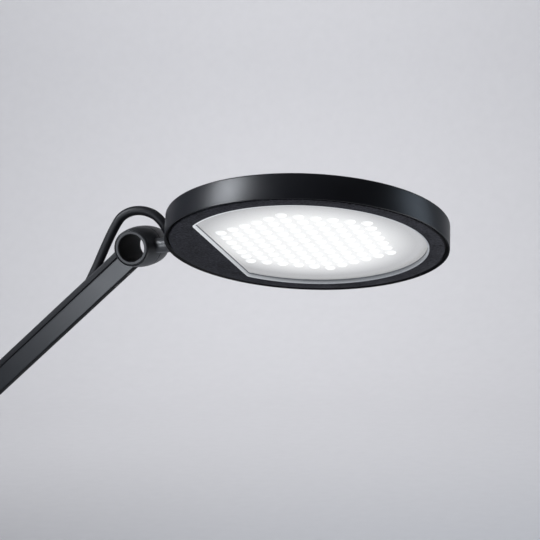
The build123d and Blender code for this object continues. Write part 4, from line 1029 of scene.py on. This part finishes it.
# %% [markdown]
# ## Gland and grommet
# Where the flex enters the head and where it leaves the base, a rubber ring keeps it off the
# metal's edge. Each ring is one spun outline: a wall in the hole and a lip outside.

# %% Gland and grommet
lip = spun([(3.6, -2.5), (4.9, -2.5), (4.9, 0.05), (6.0, 0.05), (6.0, 0.85), (3.6, 0.85)], 64)
lip_place = HEAD @ facing(GLAND_AT, GLAND_OUT)
shown("gland", rounded(lip, 0.25), lip_place, "head", RUBBER, "rubber_black", "head_gland")
grommet = spun([
    (3.55, 18.3), (4.55, 18.3), (4.55, 21.3), (6.2, 21.3), (6.2, 22.3), (3.55, 22.3),
], 64)
shown("grommet", rounded(grommet, 0.3), Matrix.Translation(OUTLET), "column", RUBBER,
      "rubber_black", "cap_grommet")

# %% [markdown]
# ## The base
# A heavy iron weight sits under a thin coated cover. Above the swivel a low cap turns with the
# column and lets the flex out through a grommet. The dimmer button stands in its own hole. All
# three are spun, and cylinders cut the holes that aren't in the middle.

# %% Base
BASE_R, BASE_HEIGHT, COVER_WALL, COVER_BORE_R = 112, 18, 2, 31.5
BUTTON_AT = Vector((78, 0, 0))
INLET_AT, INLET_R = Vector((-112, 0, 9)), 4.3

cover = spun([
    (COVER_BORE_R, BASE_HEIGHT), (BASE_R, BASE_HEIGHT), (BASE_R, 0.8), (BASE_R - COVER_WALL, 0.8),
    (BASE_R - COVER_WALL, BASE_HEIGHT - COVER_WALL), (COVER_BORE_R, BASE_HEIGHT - COVER_WALL),
], FINE_STEPS)
rounded(cover, 1.5, lambda p: p.z > 17.9 and off_axis(p) > 100, 6)
rounded(cover, 0.4, lambda p: p.z < 1, 2)
button_hole = moved(rod(10.3, 10, 25, 96), Matrix.Translation(BUTTON_AT))
cover = cut(cover, button_hole, bore(INLET_AT, X_AXIS, INLET_R, 12))
rounded(cover, 0.25, lambda p: p.z > 17.9 and off_axis(p - BUTTON_AT) < 11, 2)
shown("base_shell", cover, Matrix(), "base", BASE_BLACK, "cover_black", "base_cover")

cap = spun([
    (8.1, 25), (12, 25), (12, 21.3), (38, 21.3), (38, 18.3), (13.1, 18.3), (13.1, 20.05),
    (8.1, 20.05),
], 192)
rounded(cap, 0.9, lambda p: p.z > 21 and off_axis(p) > 11.5, 4)
cap = cut(cap, moved(rod(4.6, 15, 25), Matrix.Translation(OUTLET)))
shown("cap", cap, Matrix(), "column", BASE_BLACK, "cover_black", "swivel_cap")

button = spun([
    (0, 9), (2.5, 9), (2.5, 14.8), (11.6, 14.8), (11.6, 15.95), (10, 15.95), (10, 19.5),
    (7.5, 19.5), (0, 18.9),
], 96)
rounded(button, 0.7, lambda p: p.z > 19.2 and off_axis(p) > 9, 4)
shown("button_skin", button, Matrix.Translation(BUTTON_AT), "button", HINGE_BLACK, "nylon_dark",
      "dimmer_button")

# %% [markdown]
# ## The button's spring
# The spring under the button gets shorter when the button is pressed, so it can't ride on one
# body. Its wire is a small circle that is spun and lifted at the same time.

# %% Button's spring
COIL_R, WIRE_R, COIL_TURNS, COIL_STEPS = 7.0, 0.4, 3, 144
COIL_LOW, COIL_HIGH = 8.05, 14.35

coil = bmesh.new()
wire_at = Matrix.Translation((COIL_R, 0, COIL_LOW)) @ Matrix.Rotation(pi / 2, 4, "X")
bmesh.ops.create_circle(coil, radius=WIRE_R, segments=10, matrix=wire_at)
bmesh.ops.spin(
    coil, geom=[*coil.verts, *coil.edges], axis=(0, 0, 1), cent=(0, 0, 0),
    angle=2 * pi * COIL_TURNS, dvec=(0, 0, (COIL_HIGH - COIL_LOW) / COIL_STEPS),
    steps=COIL_STEPS,
)
bmesh.ops.holes_fill(coil, edges=list(coil.edges), sides=0)
bmesh.ops.recalc_face_normals(coil, faces=coil.faces)
moved(coil, METRES @ Matrix.Translation(BUTTON_AT))
spring = solid("spring_coil", coil, STEEL, 50)
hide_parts("button_spring")
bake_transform(spring)

# %% [markdown]
# ## The pieces that stay as they are
# Washers, screws, boards and the weight have the right shape already. They only need a finish,
# and a table from material slot to finish gives it.

# %% Carried-over pieces
CARRIED = {
    "frame_black": SATIN_BLACK, "hinge_black": HINGE_BLACK, "sleeve_black": BLACK_STEEL,
    "steel": STEEL, "cover_black": BASE_BLACK, "iron": IRON, "spreader": SPREADER,
    "rubber_black": RUBBER, "flex_black": FLEX_SHEATH, "nylon_dark": NYLON,
    "duct_black": DUCT_BLACK, "bezel_grey": BEZEL_GRAIN, "clear": LENS_CLEAR,
    "optic_white": PANEL_GLOW, "led_white": CHIP_GLOW, "board_white": WHITE_BOARD,
    "board_green": GREEN_BOARD, "bronze": BRONZE,
}
slots = {part["node"]: part["material_slot"] for part in frame["record"]["subparts"]}
for name, piece in frame["nodes"].items():
    if piece.type == "MESH" and name in slots:
        finish = BLACK_STEEL if name.endswith("arm_screws") else CARRIED[slots[name]]
        for slot in piece.material_slots:
            slot.material = finish
print("finished", len(slots), "carried-over nodes")

# %% [markdown]
# ## The stage
# A pale floor that curves up into a far round wall has no visible corner. It is one outline spun
# about the lamp, with a very wide bevel where the floor meets the wall.

# %% Stage
FLOOR_R, WALL_HEIGHT, CURVE_R = 3600, 3200, 900

stage = spun([
    (0, 0), (1900, 0), (FLOOR_R, 0), (FLOOR_R, WALL_HEIGHT), (3700, WALL_HEIGHT), (3700, -20),
    (0, -20),
], 96)
rounded(stage, CURVE_R, lambda p: abs(p.z) < 1 and 3500 < off_axis(p) < 3650, 12)
paper = Finish("paper", Roughness=0.9, Specular_IOR_Level=0.2)
fibres = paper.noise(40, 4)
paper.feed(Base_Color=paper.colour(fibres, (0.68, 0.682, 0.70), (0.72, 0.722, 0.74)))
floor = solid("stage", moved(stage, METRES), paper.material, 180)

# %% [markdown]
# ## Studio light
# Soft lamps stand at the left, the right, above, below and behind. The one at the left makes the
# broad highlight on the rim, and the one behind only lights the wall. Together they light the
# floor at a level at which its colour comes out about as it is written, and nothing pale clips.

# %% Lamps and sky
SKY_COLOUR, SKY_STRENGTH = (0.85, 0.88, 0.95, 1), 0.175


def softbox(name, spot, aim, size, energy, tint, spread=180):
    """Rectangular lamp at a spot, turned to its aim; places and sizes in metres."""
    lamp = bpy.data.lights.new(name, "AREA")
    lamp.spread = radians(spread)
    lamp.shape, (lamp.size, lamp.size_y) = "RECTANGLE", size
    lamp.energy, lamp.color = energy, tint
    holder = linked(name, lamp)
    holder.location = spot
    holder.rotation_euler = (Vector(aim) - Vector(spot)).to_track_quat("-Z", "Y").to_euler()
    holder.visible_camera = False


COOL, COOLER, BLUE = (0.90, 0.94, 1.0), (0.88, 0.93, 1.0), (0.70, 0.84, 1.0)
PALE, WHITE, NEAR_WHITE = (0.95, 0.97, 1.0), (1.0, 1.0, 1.0), (1.0, 0.99, 1.0)
softbox("left_box", (-0.77, -0.78, 1.36), (0.30, -0.10, 0.60), (0.6, 0.6), 11.5, COOL, 90)
softbox("arm_box", (0.016, -0.415, 0.539), (0.19, 0, 0.57), (0.12, 0.12), 1.05, COOLER)
softbox("right_box", (1.80, 0.62, 0.85), (0.3, 0, 0.5), (0.75, 0.9), 8.6, BLUE)
softbox("top_box", (0.7, 0.2, 2.7), (0.3, 0, 0.3), (2.4, 2.4), 8.6, PALE)
softbox("table_box", (0.75, 0.05, 0.10), (0.42, -0.05, 0.57), (0.4, 0.4), 1.45, WHITE, 90)
softbox("back_box", (-0.3, 1.3, 2.5), (-0.75, 3.4, 0.2), (0.8, 0.8), 22, NEAR_WHITE, 110)

world = bpy.data.worlds.new("world")
world.use_nodes = True
sky = world.node_tree.nodes["Background"]
sky.inputs["Color"].default_value = SKY_COLOUR
sky.inputs["Strength"].default_value = SKY_STRENGTH
bpy.context.scene.world = world
print("studio ready")
